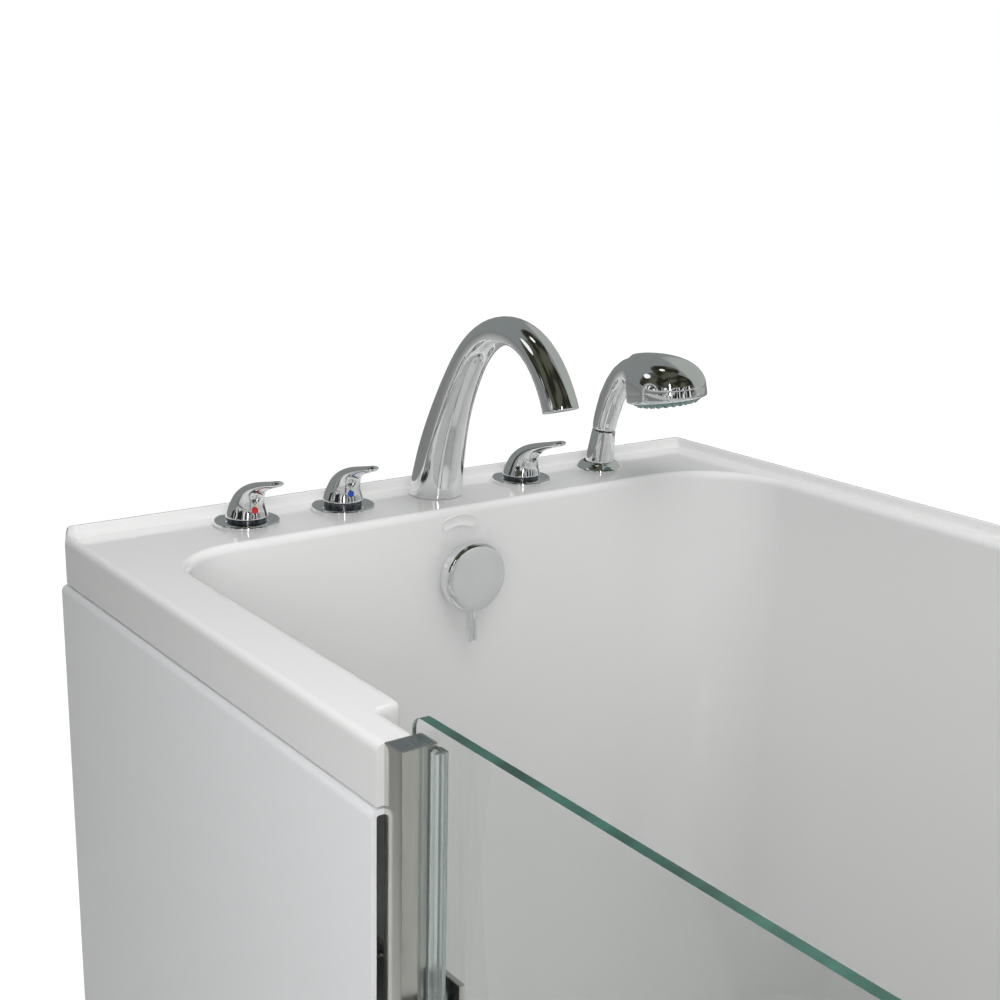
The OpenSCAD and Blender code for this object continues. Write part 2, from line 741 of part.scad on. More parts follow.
module escutcheon(y) {
  lip = 1.8;
  color("gainsboro") at(tap_px, y, 0) rotate_extrude() union() {
    translate([shank_r + seat_gap, 0]) square([esc_r - lip - shank_r - seat_gap, esc_h]);
    translate([shank_r + seat_gap, 0]) square([esc_r - shank_r - seat_gap, esc_h - lip]);
    translate([esc_r - lip, esc_h - lip]) circle(r = lip);
  }
}
// Cartridge valve: shank through the deck, body below it, spindle above
module valve(y, inlet, sides) {
  color("goldenrod") at(tap_px, y, 0) union() {
    translate([0, 0, body_top - 1]) cylinder(r = shank_r, h = esc_h + ring_h[0] - 1 - body_top);
    cylinder(r = spin_r, h = spin_top);
    translate([0, 0, body_bot]) cylinder(r = body_r, h = body_top - body_bot);
    translate([0, 0, body_top - 8]) hex(hex_r, 8);
    if (inlet) translate([0, 0, body_bot - inlet_l]) cylinder(r = inlet_r, h = inlet_l + 1);
    for (s = sides) translate([0, 0, mixer_z]) rotate([-90 * s, 0, 0])
      cylinder(r = tube_r + 3, h = body_r + 5);
  }
}
mixer_z = -72;
spout_feed_z = -54;
module valve_nuts() {
  color("goldenrod") for (i = [0, 1, 3]) at(tap_px, row_y[i], -shell_t - 8) difference() {
    hex(22, 8);
    translate([0, 0, -1]) cylinder(r = shank_r + fit, h = 10);
  }
}
module handle_rings() {
  color("black") for (i = [0, 1, 3]) at(tap_px, row_y[i], esc_h)
    tube(handle_r - 2, shank_r + seat_gap, ring_h[i]);
}

k_l = lever_l / 61;
k_r = handle_r / 20.4;
// [x, z, heading, half width, half thickness] from the base up and out along the lever
lever_stations = [
  [0, 0, 90, 20.4 * k_r, 20.4 * k_r],
  [0.3, 4, 90, 19.4 * k_r, 19.4 * k_r],
  [1.5, 10.5, 86, 17.2 * k_r, 17.2 * k_r],
  [3.2, 16, 80, 15.8 * k_r, 15.5 * k_r],
  [6.5, 21.4, 70, 14.5 * k_r, 13 * k_r],
  [11.5, 26.2, 54, 12.7 * k_r, 9.8 * k_r],
  [18.5, 30.4, 36, 11, 7],
  [28 * k_l, 34.5, 22, 10, 4.6],
  [40 * k_l, 38.5, 17, 9.6, 3.1],
  [52 * k_l, 41.9, 15, 8.8, 2.6],
  [59 * k_l, 43.6, 12, 6, 2],
  [61 * k_l, 44, 12, 2.5, 1]
];
module index_place() {
  rotate([0, 0, index_turn]) translate([handle_r - 4, 0, 10]) rotate([0, 90, 0]) children();
}
module handle_place(i, turn) {
  at(tap_px, row_y[i], handle_z(i)) rotate([0, 0, turn]) children();
}
module lever(i, turn, index) {
  color("gainsboro") handle_place(i, turn) difference() {
    oval_sweep(lever_stations, 2, 24);
    translate([0, 0, -1]) cylinder(r = spin_r + fit, h = spin_top - handle_z(i) + 1.5);
    // Thumb hollow under the lever's root
    rotate([0, 0, index_turn]) translate([handle_r + 4.5, 0, 22]) sphere(r = 9);
    // Slot through the lever's end
    for (x = [44, 51]) translate([x * k_l, 0, 20]) cylinder(r = 3.4, h = 40);
    translate([44 * k_l, -3.4, 20]) cube([7 * k_l, 6.8, 40]);
    if (index) index_place() cylinder(r = 3.2 + fit, h = 20);
  }
}
module index_button(i, turn, shade) {
  color(shade) handle_place(i, turn) index_place() translate([0, 0, 0.1]) cylinder(r = 3.2, h = 3.4);
}
module mixer_tubes() {
  color("peru") for (i = [0, 1]) {
    y0 = row_y[i] + body_r + 5;
    y1 = row_y[i == 0 ? 1 : 3] - body_r - 5;
    at(tap_px, y0, mixer_z) rotate([-90, 0, 0]) cylinder(r = tube_r, h = y1 - y0);
  }
}
shank_bot = -42;
spout_shank_r = 12;
module spout_tube() {
  r = tube_r - 1;
  y1 = row_y[3] - hex_r * cos(30);
  color("peru") union() {
    at(tap_px, row_y[2], spout_feed_z) {
      sphere(r = r);
      cylinder(r = r, h = shank_bot - spout_feed_z);
      rotate([-90, 0, 0]) cylinder(r = r, h = y1 - row_y[2]);
    }
  }
}
module spout_shank() {
  color("goldenrod") at(tap_px, row_y[2], shank_bot) cylinder(r = spout_shank_r, h = 24 - shank_bot);
}
module spout_nut() {
  color("goldenrod") at(tap_px, row_y[2], -shell_t - 8) difference() {
    hex(20, 8);
    translate([0, 0, -1]) cylinder(r = spout_shank_r + fit, h = 10);
  }
}

k_s = spout_reach / 203;
k_h = spout_h / 203;
k_f = spout_r / 28;
spout_stations = [
  [-2 * k_s, 0, 90, 28 * k_f, 28 * k_f],
  [0, 14 * k_h, 86, 26.8 * k_f, 26.8 * k_f],
  [5 * k_s, 38 * k_h, 80, 25 * k_f, 25 * k_f],
  [13 * k_s, 65 * k_h, 73, 22.8 * k_f, 22.5 * k_f],
  [25 * k_s, 95 * k_h, 65, 20.5, 20],
  [41 * k_s, 126 * k_h, 56, 18.8, 18],
  [62 * k_s, 158.5 * k_h, 43, 17.8, 16.2],
  [89 * k_s, 180 * k_h, 24, 17.6, 15],
  [120 * k_s, 189 * k_h, 2, 17.4, 14],
  [152 * k_s, 183 * k_h, -21, 17.2, 14],
  [178 * k_s, 164.5 * k_h, -44, 17.2, 15],
  [195 * k_s, 141 * k_h, -62, 17.2, 16],
  [spout_reach, 123 * k_h, -72, 17.2, 17]
];
spout_end = spout_stations[len(spout_stations) - 1];
module spout_mouth() {
  translate([spout_end[0], 0, spout_end[1]]) rotate([0, 90 - spout_end[2], 0]) children();
}
module spout_body() {
  color("gainsboro") at(tap_px, row_y[2], 0) difference() {
    oval_sweep(spout_stations, 2, 28);
    spout_mouth() translate([0, 0, -12]) cylinder(r = 13, h = 20);
    translate([0, 0, -1]) cylinder(r = spout_shank_r + fit, h = 26);
  }
}
module spout_outlet() {
  color("gray") at(tap_px, row_y[2], 0) spout_mouth() translate([0, 0, -11.9]) difference() {
    cylinder(r = 12.95, h = 10);
    translate([0, 0, 6]) cylinder(r = 11, h = 10);
    for (a = [0 : 45 : 315]) rotate([0, 0, a]) translate([6.5, 0, 2]) cylinder(r = 1.4, h = 10);
  }
}

// ---------------------------------------------------------------------------------------------
// Hand shower, standing in its holder

cone_h = 45.7;
cone_r = 16.2;
cone_top_r = 12.9;
guide_r = 12;
flange_r = 26;
inlet_tube_r = 7;
holder_bore = 8.5;
flange_h = 10;
// The cone leans inside the flange's upright bore
flange_bore = cone_r / cos(shower_lean) + flange_h * tan(shower_lean) + fit;
module shower_place() {
  at(tap_px, row_y[4], 0) rotate([0, shower_lean, shower_turn]) children();
}
module shower_flange() {
  color("gainsboro") at(tap_px, row_y[4], 0) difference() {
    rotate_extrude() polygon(concat(
      [[0, 0], [flange_r, 0]],
      [for (a = [0 : 15 : 90]) [flange_r - 12 + 12 * cos(a), 2 + (flange_h - 2) * sin(a)]],
      [[0, flange_h]]
    ));
    translate([0, 0, -1]) cylinder(r = flange_bore, h = 20);
  }
}
// From an upright foot on the deck into the lean
holder_stations = concat(
  [[0, 0, 90, cone_r, cone_r]],
  [
    for (p = [[3, cone_r], [11, cone_r], [cone_h, cone_top_r]])
      [p[0] * sin(shower_lean), p[0] * cos(shower_lean), 90 - shower_lean, p[1], p[1]]
  ]
);
module shower_holder() {
  color("gainsboro") difference() {
    at(tap_px, row_y[4], 0) rotate([0, 0, shower_turn]) oval_sweep(holder_stations, 1, 48);
    shower_place() translate([0, 0, -10]) cylinder(r = holder_bore, h = cone_h + 20);
  }
}
module shower_guide() {
  color("goldenrod") at(tap_px, row_y[4], -60) tube(guide_r, holder_bore, 60);
}
module shower_nut() {
  color("goldenrod") at(tap_px, row_y[4], -shell_t - 8) difference() {
    hex(20, 8);
    translate([0, 0, -1]) cylinder(r = guide_r + fit, h = 10);
  }
}
neck_z = cone_h + gap;
k_d = head_r / 43.5;
neck_stations = [
  [0, neck_z, 90, cone_top_r + 0.2, cone_top_r + 0.2],
  [0.4, neck_z + 12, 87, 13.4, 13.4],
  [2.2, 69, 82, 13.8, 13.8],
  [5, 84, 75, 14.2, 14],
  [10.6, 100, 64, 15, 14.2],
  [17.2, 112, 54, 17, 14],
  [25.6, 121, 39, 21 * k_d, 13.6],
  [35, 126.5, 22, 26 * k_d, 12.6],
  [48, 129, 2, 29 * k_d, 11],
  [60, 126, -16, 28 * k_d, 8]
];
head_x = 74;
head_z = 111;
head_tilt = -16.5;
head_h = 41.5;
head_skew = 0.85;
band_h = 7.8;
chin_h = 6.5;
face_r = head_r - 11.5;
// One ring of the head's dome, which leans back into the neck: u runs from 0 at its seam to 1
function dome_r(u) = head_r * sqrt(1 - pow(u, 2.4));
function dome_ring(u) = [-head_skew * (head_r - dome_r(u)), head_h * u, 90, dome_r(u), dome_r(u)];
head_stations = concat(
  [
    [0, -band_h - chin_h, 90, face_r + 1, face_r + 1],
    [0, -band_h - 4.6, 90, head_r - 5.5, head_r - 5.5],
    [0, -band_h - 1.8, 90, head_r - 1.2, head_r - 1.2],
    [0, -band_h, 90, head_r, head_r]
  ],
  [for (u = [0, 0.12, 0.25, 0.4, 0.55, 0.7, 0.82, 0.91, 0.97, 0.995]) dome_ring(u)]
);
module head_place() {
  shower_place() translate([head_x, 0, head_z]) rotate([0, head_tilt, 0]) children();
}
module hand_shower() {
  color("gainsboro") difference() {
    union() {
      shower_place() oval_sweep(neck_stations, 2, 28);
      head_place() oval_sweep(head_stations, 1, 36);
    }
    head_place() translate([0, 0, -band_h - chin_h - 1]) cylinder(r = face_r, h = 5);
    shower_place() translate([0, 0, neck_z - 1]) cylinder(r = inlet_tube_r + fit, h = 10);
  }
}
module shower_face() {
  color("cadetblue") head_place() translate([0, 0, -band_h - chin_h]) difference() {
    rotate_extrude() polygon(concat(
      [[0, 3.9], [face_r - 0.1, 3.9]],
      [for (a = [0 : 15 : 90]) [(face_r - 0.1) * cos(a), 0.5 - 4.5 * sin(a)]]
    ));
    for (a = [0 : 30 : 330]) rotate([0, 0, a]) translate([face_r - 7, 0, -6]) cylinder(r = 1.2, h = 6);
    for (a = [0 : 60 : 300]) rotate([0, 0, a]) translate([face_r - 19, 0, -6]) cylinder(r = 1.2, h = 4);
  }
}
module shower_inlet() {
  color("silver") shower_place() translate([0, 0, neck_z - 18]) cylinder(r = inlet_tube_r, h = 26);
}

// ---------------------------------------------------------------------------------------------
// Overflow and waste

module over_axis(x) {
  at(over_x + x, waste_y, -over_z) rotate([0, 90, 0]) children();
}
wall_back = -shell_t;
neck_len = 14;
hub_r = 9;
knob_back = 5;
knob_t = 13;
axle_r = 5;
module overflow_ring() {
  color("gainsboro") difference() {
    union() {
      over_axis(-dish_d) cylinder(r = 33, h = 5);
      over_axis(-dish_d - neck_len) cylinder(r = over_neck_r, h = neck_len + 1);
    }
    difference() {
      over_axis(-dish_d - neck_len - 1) cylinder(r = 21, h = neck_len + 10);
      over_axis(-dish_d - 8) cylinder(r = hub_r, h = 13);
      for (a = [0, 120, 240]) over_axis(-dish_d - 8) rotate([0, 0, a]) translate([0, -2, 0])
        cube([22, 4, 8]);
    }
    over_axis(-40) cylinder(r = axle_r + fit, h = 80);
  }
}
module overflow_gasket() {
  color("black") over_axis(wall_back - 3) tube(34, over_neck_r + seat_gap, 3);
}
module overflow_knob() {
  soft = 2.5;
  color("gainsboro") union() {
    over_axis(knob_back) rotate_extrude() union() {
      square([knob_r - soft, knob_t]);
      square([knob_r, knob_t - soft]);
      translate([knob_r - soft, knob_t - soft]) circle(r = soft);
    }
    over_axis(-dish_d - 10) cylinder(r = axle_r, h = knob_back + dish_d + 11);
    at(over_x + knob_back + 6, waste_y, -over_z - 66) cylinder(r = 4.5, h = 40);
    at(over_x + knob_back + 6, waste_y, -over_z - 66) sphere(r = 4.5);
  }
}
elbow_drop = 58;
elbow_back = 18.4;                        // the elbow's back stays clear of the tubes at the valves
socket_down = 8.5;                        // and so does its socket, which starts below them
module overflow_elbow() {
  inner = wall_back - 3;
  color("dimgray") difference() {
    union() {
      over_axis(inner - 5) cylinder(r = 36, h = 5);
      at(pipe_x - elbow_back, waste_y, -over_z) rotate([0, 90, 0])
        cylinder(r = 29, h = over_x + inner - pipe_x + elbow_back);
      at(pipe_x, waste_y, -over_z - elbow_drop) cylinder(r = socket_r, h = elbow_drop - socket_down);
    }
    at(pipe_x - elbow_back + 2, waste_y, -over_z) rotate([0, 90, 0])
      cylinder(r = over_neck_r + seat_gap, h = 90);
    at(pipe_x, waste_y, -over_z - elbow_drop - 1) cylinder(r = pipe_r + fit, h = elbow_drop - 20);
    at(pipe_x, waste_y, -over_z - elbow_drop) cylinder(r = pipe_in_r, h = elbow_drop);
  }
}
pipe_top = -over_z - 27;
module overflow_pipe() {
  z0 = run_z + socket_r;
  color("dimgray") at(pipe_x, waste_y, z0) tube(pipe_r, pipe_in_r, pipe_top - z0);
}
shoe_r = 33;
module drain_flange() {
  z = floor_z - floor_fall;
  color("gainsboro") at(xe + waste_x, waste_y, 0) difference() {
    union() {
      translate([0, 0, z]) cylinder(r1 = 36, r2 = 34, h = 2.5);
      translate([0, 0, under_z - 24]) cylinder(r = waste_r - seat_gap, h = z - under_z + 25);
    }
    translate([0, 0, under_z - 25]) cylinder(r = 20, h = 60);
  }
}
module drain_stopper() {
  z = floor_z - floor_fall + 2.5 + gap;
  color("gainsboro") at(xe + waste_x, waste_y, 0) union() {
    translate([0, 0, z]) rotate_extrude() polygon(concat(
      [[0, 0], [30, 0], [31, 1]],
      [for (a = [0 : 15 : 90]) [31 * cos(a), 2 + 3.5 * sin(a)]]
    ));
    translate([0, 0, z - 18]) cylinder(r = 4, h = 20);
    translate([0, 0, z - 18]) for (a = [0, 90]) rotate([0, 0, a]) translate([-17, -1.5, 0]) cube([34, 3, 8]);
  }
}
shoe_out = 64;                            // reach of the shoe's socket from the drain
socket_deep = 24;
module shoe_arm(x) {
  at(xe + waste_x - shoe_out + x, waste_y, run_z) rotate([0, 90, 0]) children();
}
module drain_shoe() {
  color("dimgray") difference() {
    union() {
      at(xe + waste_x, waste_y, run_z - socket_r - 3)
        cylinder(r = shoe_r, h = under_z - run_z + socket_r + 3);
      shoe_arm(0) cylinder(r = socket_r, h = shoe_out);
    }
    at(xe + waste_x, waste_y, run_z - socket_r) cylinder(r = waste_r, h = 100);
    shoe_arm(-1) cylinder(r = pipe_in_r, h = shoe_out);
    shoe_arm(-1) cylinder(r = pipe_r + fit, h = socket_deep + 2);
  }
}
module waste_tee() {
  run = xe + waste_x - shoe_out + socket_deep - pipe_x;
  out = 45;
  spigot_l = 22;
  color("dimgray") difference() {
    union() {
      at(pipe_x, waste_y, run_z) sphere(r = socket_r);
      at(pipe_x, waste_y, run_z) rotate([0, 90, 0]) cylinder(r = pipe_r, h = run);
      at(pipe_x, waste_y, run_z - out) cylinder(r = pipe_r, h = spigot_l);
      at(pipe_x, waste_y, run_z - out) cylinder(r = pipe_r - 0.6, h = out);
      at(pipe_x, waste_y, run_z) cylinder(r = socket_r, h = socket_r + socket_deep);
    }
    at(pipe_x, waste_y, run_z) rotate([0, 90, 0]) cylinder(r = pipe_in_r, h = run + 1);
    at(pipe_x, waste_y, run_z - out - 1) cylinder(r = pipe_in_r, h = out + 100);
    at(pipe_x, waste_y, run_z + socket_r) cylinder(r = pipe_r + fit, h = 100);
  }
}

// ---------------------------------------------------------------------------------------------
tub_shell();
front_apron();
apron_clips();
base_board();
base_rails();
base_crossbars();
frame_uprights();
seat_beam();
foot_studs();
foot_pads();
foot_locknuts();
door_frame();
post_caps();
door_gasket();
hinge_brackets();
hinge_pins();
bracket_screws();
latch_keeper();
keeper_backing();
door_glass();
hinge_leaves();
hinge_bolts();
latch_base();
latch_lever();
escutcheon(row_y[0]);  // hot_escutcheon
escutcheon(row_y[1]);  // cold_escutcheon
escutcheon(row_y[3]);  // diverter_escutcheon
valve(row_y[0], true, [1]);  // hot_valve
valve(row_y[1], true, [-1, 1]);  // cold_valve
valve(row_y[3], false, [-1]);  // diverter_valve
valve_nuts();
handle_rings();
lever(0, hot_turn, true);  // hot_lever
lever(1, cold_turn, true);  // cold_lever
lever(3, div_turn, false);  // diverter_lever
index_button(0, hot_turn, "red");  // hot_index
index_button(1, cold_turn, "blue");  // cold_index
mixer_tubes();
spout_tube();
spout_body();
spout_outlet();
spout_shank();
spout_nut();
shower_flange();
shower_holder();
shower_guide();
shower_nut();
hand_shower();
shower_face();
shower_inlet();
overflow_ring();
overflow_gasket();
overflow_elbow();
overflow_knob();
overflow_pipe();
drain_flange();
drain_stopper();
drain_shoe();
waste_tee();
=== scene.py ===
"""A walk-in bathtub with a glass door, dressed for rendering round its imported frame.

Lengths are written in millimetres and turned into metres where a mesh is made. +X runs from the
tap end to the seat end, +Y from the door side to the back wall and +Z up from the floor.
"""

import logging
import math
from dataclasses import dataclass, field
from enum import Enum
from typing import Iterable, Optional, Sequence, Union

import bmesh
import bpy
from mathutils import Matrix, Vector


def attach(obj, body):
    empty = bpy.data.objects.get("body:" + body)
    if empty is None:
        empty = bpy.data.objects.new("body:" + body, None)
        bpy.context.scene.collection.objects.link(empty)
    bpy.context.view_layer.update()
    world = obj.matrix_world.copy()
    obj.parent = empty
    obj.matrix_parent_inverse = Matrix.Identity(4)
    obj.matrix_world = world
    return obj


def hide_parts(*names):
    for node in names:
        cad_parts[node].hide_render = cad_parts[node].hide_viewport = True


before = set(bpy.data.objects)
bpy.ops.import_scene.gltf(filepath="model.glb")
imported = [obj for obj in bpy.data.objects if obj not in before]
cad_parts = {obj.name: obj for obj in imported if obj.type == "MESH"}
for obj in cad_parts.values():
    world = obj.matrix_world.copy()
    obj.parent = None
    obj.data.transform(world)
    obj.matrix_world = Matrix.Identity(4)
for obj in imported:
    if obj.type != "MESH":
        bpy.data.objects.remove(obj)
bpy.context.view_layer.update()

logging.basicConfig(level=logging.INFO, format="%(message)s")
log = logging.getLogger("bathtub")

MM = 0.001
# Top of the deck
DECK = 965.0
# The row of taps: its distance from the tub's middle, and the middle of the row
ROW_X, ROW_Y = -714.0, 3.0
# Face of the basin's wall at the tap end
WALL_X = -656.0
# A noise factor keeps mostly within these
NOISE_LOW, NOISE_HIGH = 0.3, 0.7


class Body(Enum):
    """The bodies that a piece can ride on."""

    TUB = "tub"
    DOOR = "door"
    LATCH = "latch"
    HOT = "hot_handle"
    COLD = "cold_handle"
    DIVERTER = "diverter_handle"
    SHOWER = "shower"
    OVERFLOW = "overflow_handle"
    STOPPER = "stopper"


# ------------------------------------------------------------------------------------------------
# Finishes


class Bench:
    """Adds nodes to a tree and links them."""

    def __init__(self, tree: bpy.types.NodeTree) -> None:
        """Work on a tree.

        Args:
            tree: The node tree.
        """
        self.tree = tree

    def add(self, kind: str, **values: object) -> bpy.types.Node:
        """Add a node.

        Args:
            kind: The node's type name.
            values: Settings, or input defaults under the socket's name with _ for spaces.

        Returns:
            The new node.
        """
        node = self.tree.nodes.new(kind)
        for key, value in values.items():
            label = key.replace("_", " ")
            if label in node.inputs:
                node.inputs[label].default_value = value
            else:
                setattr(node, key, value)
        return node

    def join(self, source: bpy.types.NodeSocket, target: bpy.types.NodeSocket) -> None:
        """Link two sockets."""
        self.tree.links.new(source, target)


class NodeBench(Bench):
    """Builds one node material round a Principled shader."""

    def __init__(self, name: str) -> None:
        """Start an empty material.

        Args:
            name: The material's name.
        """
        self.material = bpy.data.materials.new(name)
        self.material.use_nodes = True
        super().__init__(self.material.node_tree)
        self.shader = self.tree.nodes["Principled BSDF"]
        self.output = self.tree.nodes["Material Output"]

    def set(self, **values: object) -> "NodeBench":
        """Set constant inputs of the shader.

        Args:
            values: The inputs' values, under the socket's name with _ for spaces.

        Returns:
            The bench.
        """
        for key, value in values.items():
            self.shader.inputs[key.replace("_", " ")].default_value = value
        return self

    def place(self, stretch: Sequence[float] = (1, 1, 1)) -> bpy.types.NodeSocket:
        """Object coordinates, scaled.

        Args:
            stretch: Scale along X, Y and Z.

        Returns:
            The vector socket.
        """
        coords = self.add("ShaderNodeTexCoord")
        mapping = self.add("ShaderNodeMapping")
        mapping.inputs["Scale"].default_value = stretch
        self.join(coords.outputs["Object"], mapping.inputs["Vector"])
        return mapping.outputs["Vector"]

    def noise(
        self, scale: float, detail: float, stretch: Sequence[float] = (1, 1, 1)
    ) -> bpy.types.NodeSocket:
        """Noise on Object coordinates.

        Args:
            scale: Features per metre.
            detail: Octaves.
            stretch: Scale along X, Y and Z.

        Returns:
            The factor socket.
        """
        node = self.add("ShaderNodeTexNoise", Scale=scale, Detail=detail)
        self.join(self.place(stretch), node.inputs["Vector"])
        return node.outputs["Fac"]

    def spread(self, source: bpy.types.NodeSocket, low: float, high: float) -> bpy.types.NodeSocket:
        """Map the usual span of a noise factor onto a range.

        Args:
            source: The factor.
            low: Value at NOISE_LOW.
            high: Value at NOISE_HIGH.

        Returns:
            The mapped socket.
        """
        node = self.add(
            "ShaderNodeMapRange", From_Min=NOISE_LOW, From_Max=NOISE_HIGH, To_Min=low, To_Max=high
        )
        self.join(source, node.inputs["Value"])
        return node.outputs["Result"]

    def tint(
        self, source: bpy.types.NodeSocket, first: Sequence[float], second: Sequence[float]
    ) -> None:
        """Colour the shader between two colours by a factor.

        Args:
            source: The factor.
            first: Colour at NOISE_LOW.
            second: Colour at NOISE_HIGH.
        """
        ramp = self.add("ShaderNodeValToRGB")
        stops = ((NOISE_LOW, first), (NOISE_HIGH, second))
        for element, (position, color) in zip(ramp.color_ramp.elements, stops):
            element.position, element.color = position, (*color, 1)
        self.join(source, ramp.inputs["Fac"])
        self.join(ramp.outputs["Color"], self.shader.inputs["Base Color"])

    def relief(self, source: bpy.types.NodeSocket, strength: float, depth: float) -> None:
        """Bump the shader.

        Args:
            source: The height.
            strength: Strength of the bump.
            depth: Height of the relief in metres.
        """
        bump = self.add("ShaderNodeBump", Strength=strength, Distance=depth)
        self.join(source, bump.inputs["Height"])
        self.join(bump.outputs["Normal"], self.shader.inputs["Normal"])

    def gloss(self, source: bpy.types.NodeSocket, low: float, high: float) -> None:
        """Vary the roughness between low and high by a factor."""
        self.join(self.spread(source, low, high), self.shader.inputs["Roughness"])


def darker(color: Sequence[float], share: float) -> tuple[float, ...]:
    """A colour taken down to a share of its brightness."""
    return tuple(share * c for c in color)


@dataclass(frozen=True)
class Acrylic:
    """Glossy vacuum-formed acrylic with a faint ripple.

    Attributes:
        name: The material's name.
        color: Its colour.
        shade: The colour that it drifts to in soft clouds.
        low_rough: Lowest roughness.
        high_rough: Highest roughness.
    """

    name: str
    color: tuple[float, float, float]
    shade: tuple[float, float, float]
    low_rough: float = 0.10
    high_rough: float = 0.17

    def build(self) -> bpy.types.Material:
        """Make the material.

        Returns:
            The material.
        """
        bench = NodeBench(self.name).set(Coat_Weight=0.35, Coat_Roughness=0.03, IOR=1.49)
        bench.tint(bench.noise(scale=1.6, detail=3), self.color, self.shade)
        bench.gloss(bench.noise(scale=7, detail=4), self.low_rough, self.high_rough)
        bench.relief(bench.noise(scale=16, detail=2), strength=0.06, depth=0.0006)
        return bench.material


@dataclass(frozen=True)
class Chrome:
    """Polished plating over a cast body.

    Attributes:
        name: The material's name.
        color: Its colour.
        low_rough: Lowest roughness.
        high_rough: Highest roughness.
    """

    name: str
    color: tuple[float, float, float] = (0.88, 0.89, 0.90)
    low_rough: float = 0.025
    high_rough: float = 0.06

    def build(self) -> bpy.types.Material:
        """Make the material.

        Returns:
            The material.
        """
        bench = NodeBench(self.name).set(Metallic=1.0)
        bench.tint(bench.noise(scale=30, detail=2), self.color, darker(self.color, 0.96))
        bench.gloss(bench.noise(scale=60, detail=4), self.low_rough, self.high_rough)
        bench.relief(bench.noise(scale=34, detail=1), strength=0.05, depth=0.0005)
        return bench.material


@dataclass(frozen=True)
class Brushed:
    """Metal with a brushed or drawn grain along one axis.

    Attributes:
        name: The material's name.
        color: Its colour.
        stretch: Scale of the grain along X, Y and Z, least along the grain.
        low_rough: Lowest roughness.
        high_rough: Highest roughness.
        scale: Features of the grain per metre.
        depth: Height of the grain in metres.
    """

    name: str
    color: tuple[float, float, float]
    stretch: tuple[float, float, float]
    low_rough: float = 0.26
    high_rough: float = 0.40
    scale: float = 900
    depth: float = 0.00008

    def build(self) -> bpy.types.Material:
        """Make the material.

        Returns:
            The material.
        """
        bench = NodeBench(self.name).set(Metallic=1.0)
        grain = bench.noise(self.scale, detail=3, stretch=self.stretch)
        bench.tint(grain, self.color, darker(self.color, 0.92))
        bench.gloss(grain, self.low_rough, self.high_rough)
        bench.relief(grain, strength=0.25, depth=self.depth)
        return bench.material


@dataclass(frozen=True)
class Moulded:
    """Moulded plastic or rubber, opaque or translucent.

    Attributes:
        name: The material's name.
        color: Its colour.
        rough: Its middle roughness.
        scale: Features of its grain per metre.
        relief: Strength of the grain.
        clear: Share of light that goes through.
        metallic: Share that reflects as metal.
        swing: How far the roughness varies, as a share of it.
    """

    name: str
    color: tuple[float, float, float]
    rough: float
    scale: float = 260
    relief: float = 0.15
    clear: float = 0.0
    metallic: float = 0.0
    swing: float = 0.15

    def build(self) -> bpy.types.Material:
        """Make the material.

        Returns:
            The material.
        """
        bench = NodeBench(self.name).set(Transmission_Weight=self.clear, Metallic=self.metallic)
        low, high = self.rough * (1 - self.swing), self.rough * (1 + self.swing)
        bench.tint(bench.noise(scale=9, detail=3), self.color, darker(self.color, 0.9))
        bench.gloss(bench.noise(self.scale, detail=3), low, min(1.0, high))
        bench.relief(bench.noise(self.scale * 2, detail=2), self.relief, depth=0.0002)
        return bench.material


@dataclass(frozen=True)
class ClearGlass:
    """Toughened clear glass: its faces.

    Attributes:
        name: The material's name.
        color: Its colour.
    """

    name: str = "clear_glass_face"
    color: tuple[float, float, float] = (0.985, 1.0, 0.993)

    def build(self) -> bpy.types.Material:
        """Make the material.

        Returns:
            The material.
        """
        bench = NodeBench(self.name).set(Transmission_Weight=1.0, IOR=1.42)
        bench.tint(bench.noise(scale=3, detail=2), self.color, darker(self.color, 0.99))
        bench.gloss(bench.noise(scale=20, detail=3), low=0.0, high=0.012)
        return bench.material


@dataclass(frozen=True)
class GlassEdge:
    """The polished edge of clear glass, green from the length of glass behind it.

    Attributes:
        name: The material's name.
        dark: Colour of its darkest streaks.
        light: Colour of its lightest streaks.
    """

    name: str = "green_glass_edge"
    dark: tuple[float, float, float] = (0.008, 0.052, 0.036)
    light: tuple[float, float, float] = (0.06, 0.21, 0.165)

    def build(self) -> bpy.types.Material:
        """Make the material.

        Returns:
            The material.
        """
        bench = NodeBench(self.name).set(Transmission_Weight=0.25, IOR=1.5, Coat_Weight=0.5)
        streaks = bench.noise(scale=26, detail=3, stretch=(1, 0.2, 0.35))
        bench.tint(streaks, self.dark, self.light)
        bench.gloss(bench.noise(scale=120, detail=3), low=0.06, high=0.16)
        return bench.material


@dataclass(frozen=True)
class Plywood:
    """Raw birch ply: long grain, with plies on its edges.

    Attributes:
        name: The material's name.
        light: Colour between the grain.
        dark: Colour of the grain.
    """

    name: str = "raw_ply"
    light: tuple[float, float, float] = (0.62, 0.46, 0.29)
    dark: tuple[float, float, float] = (0.40, 0.27, 0.15)

    def build(self) -> bpy.types.Material:
        """Make the material.

        Returns:
            The material.
        """
        bench = NodeBench(self.name)
        grain = bench.noise(scale=60, detail=6, stretch=(0.15, 1.6, 10))
        bench.tint(grain, self.light, self.dark)
        bench.gloss(grain, low=0.6, high=0.8)
        bench.relief(grain, strength=0.3, depth=0.0003)
        return bench.material


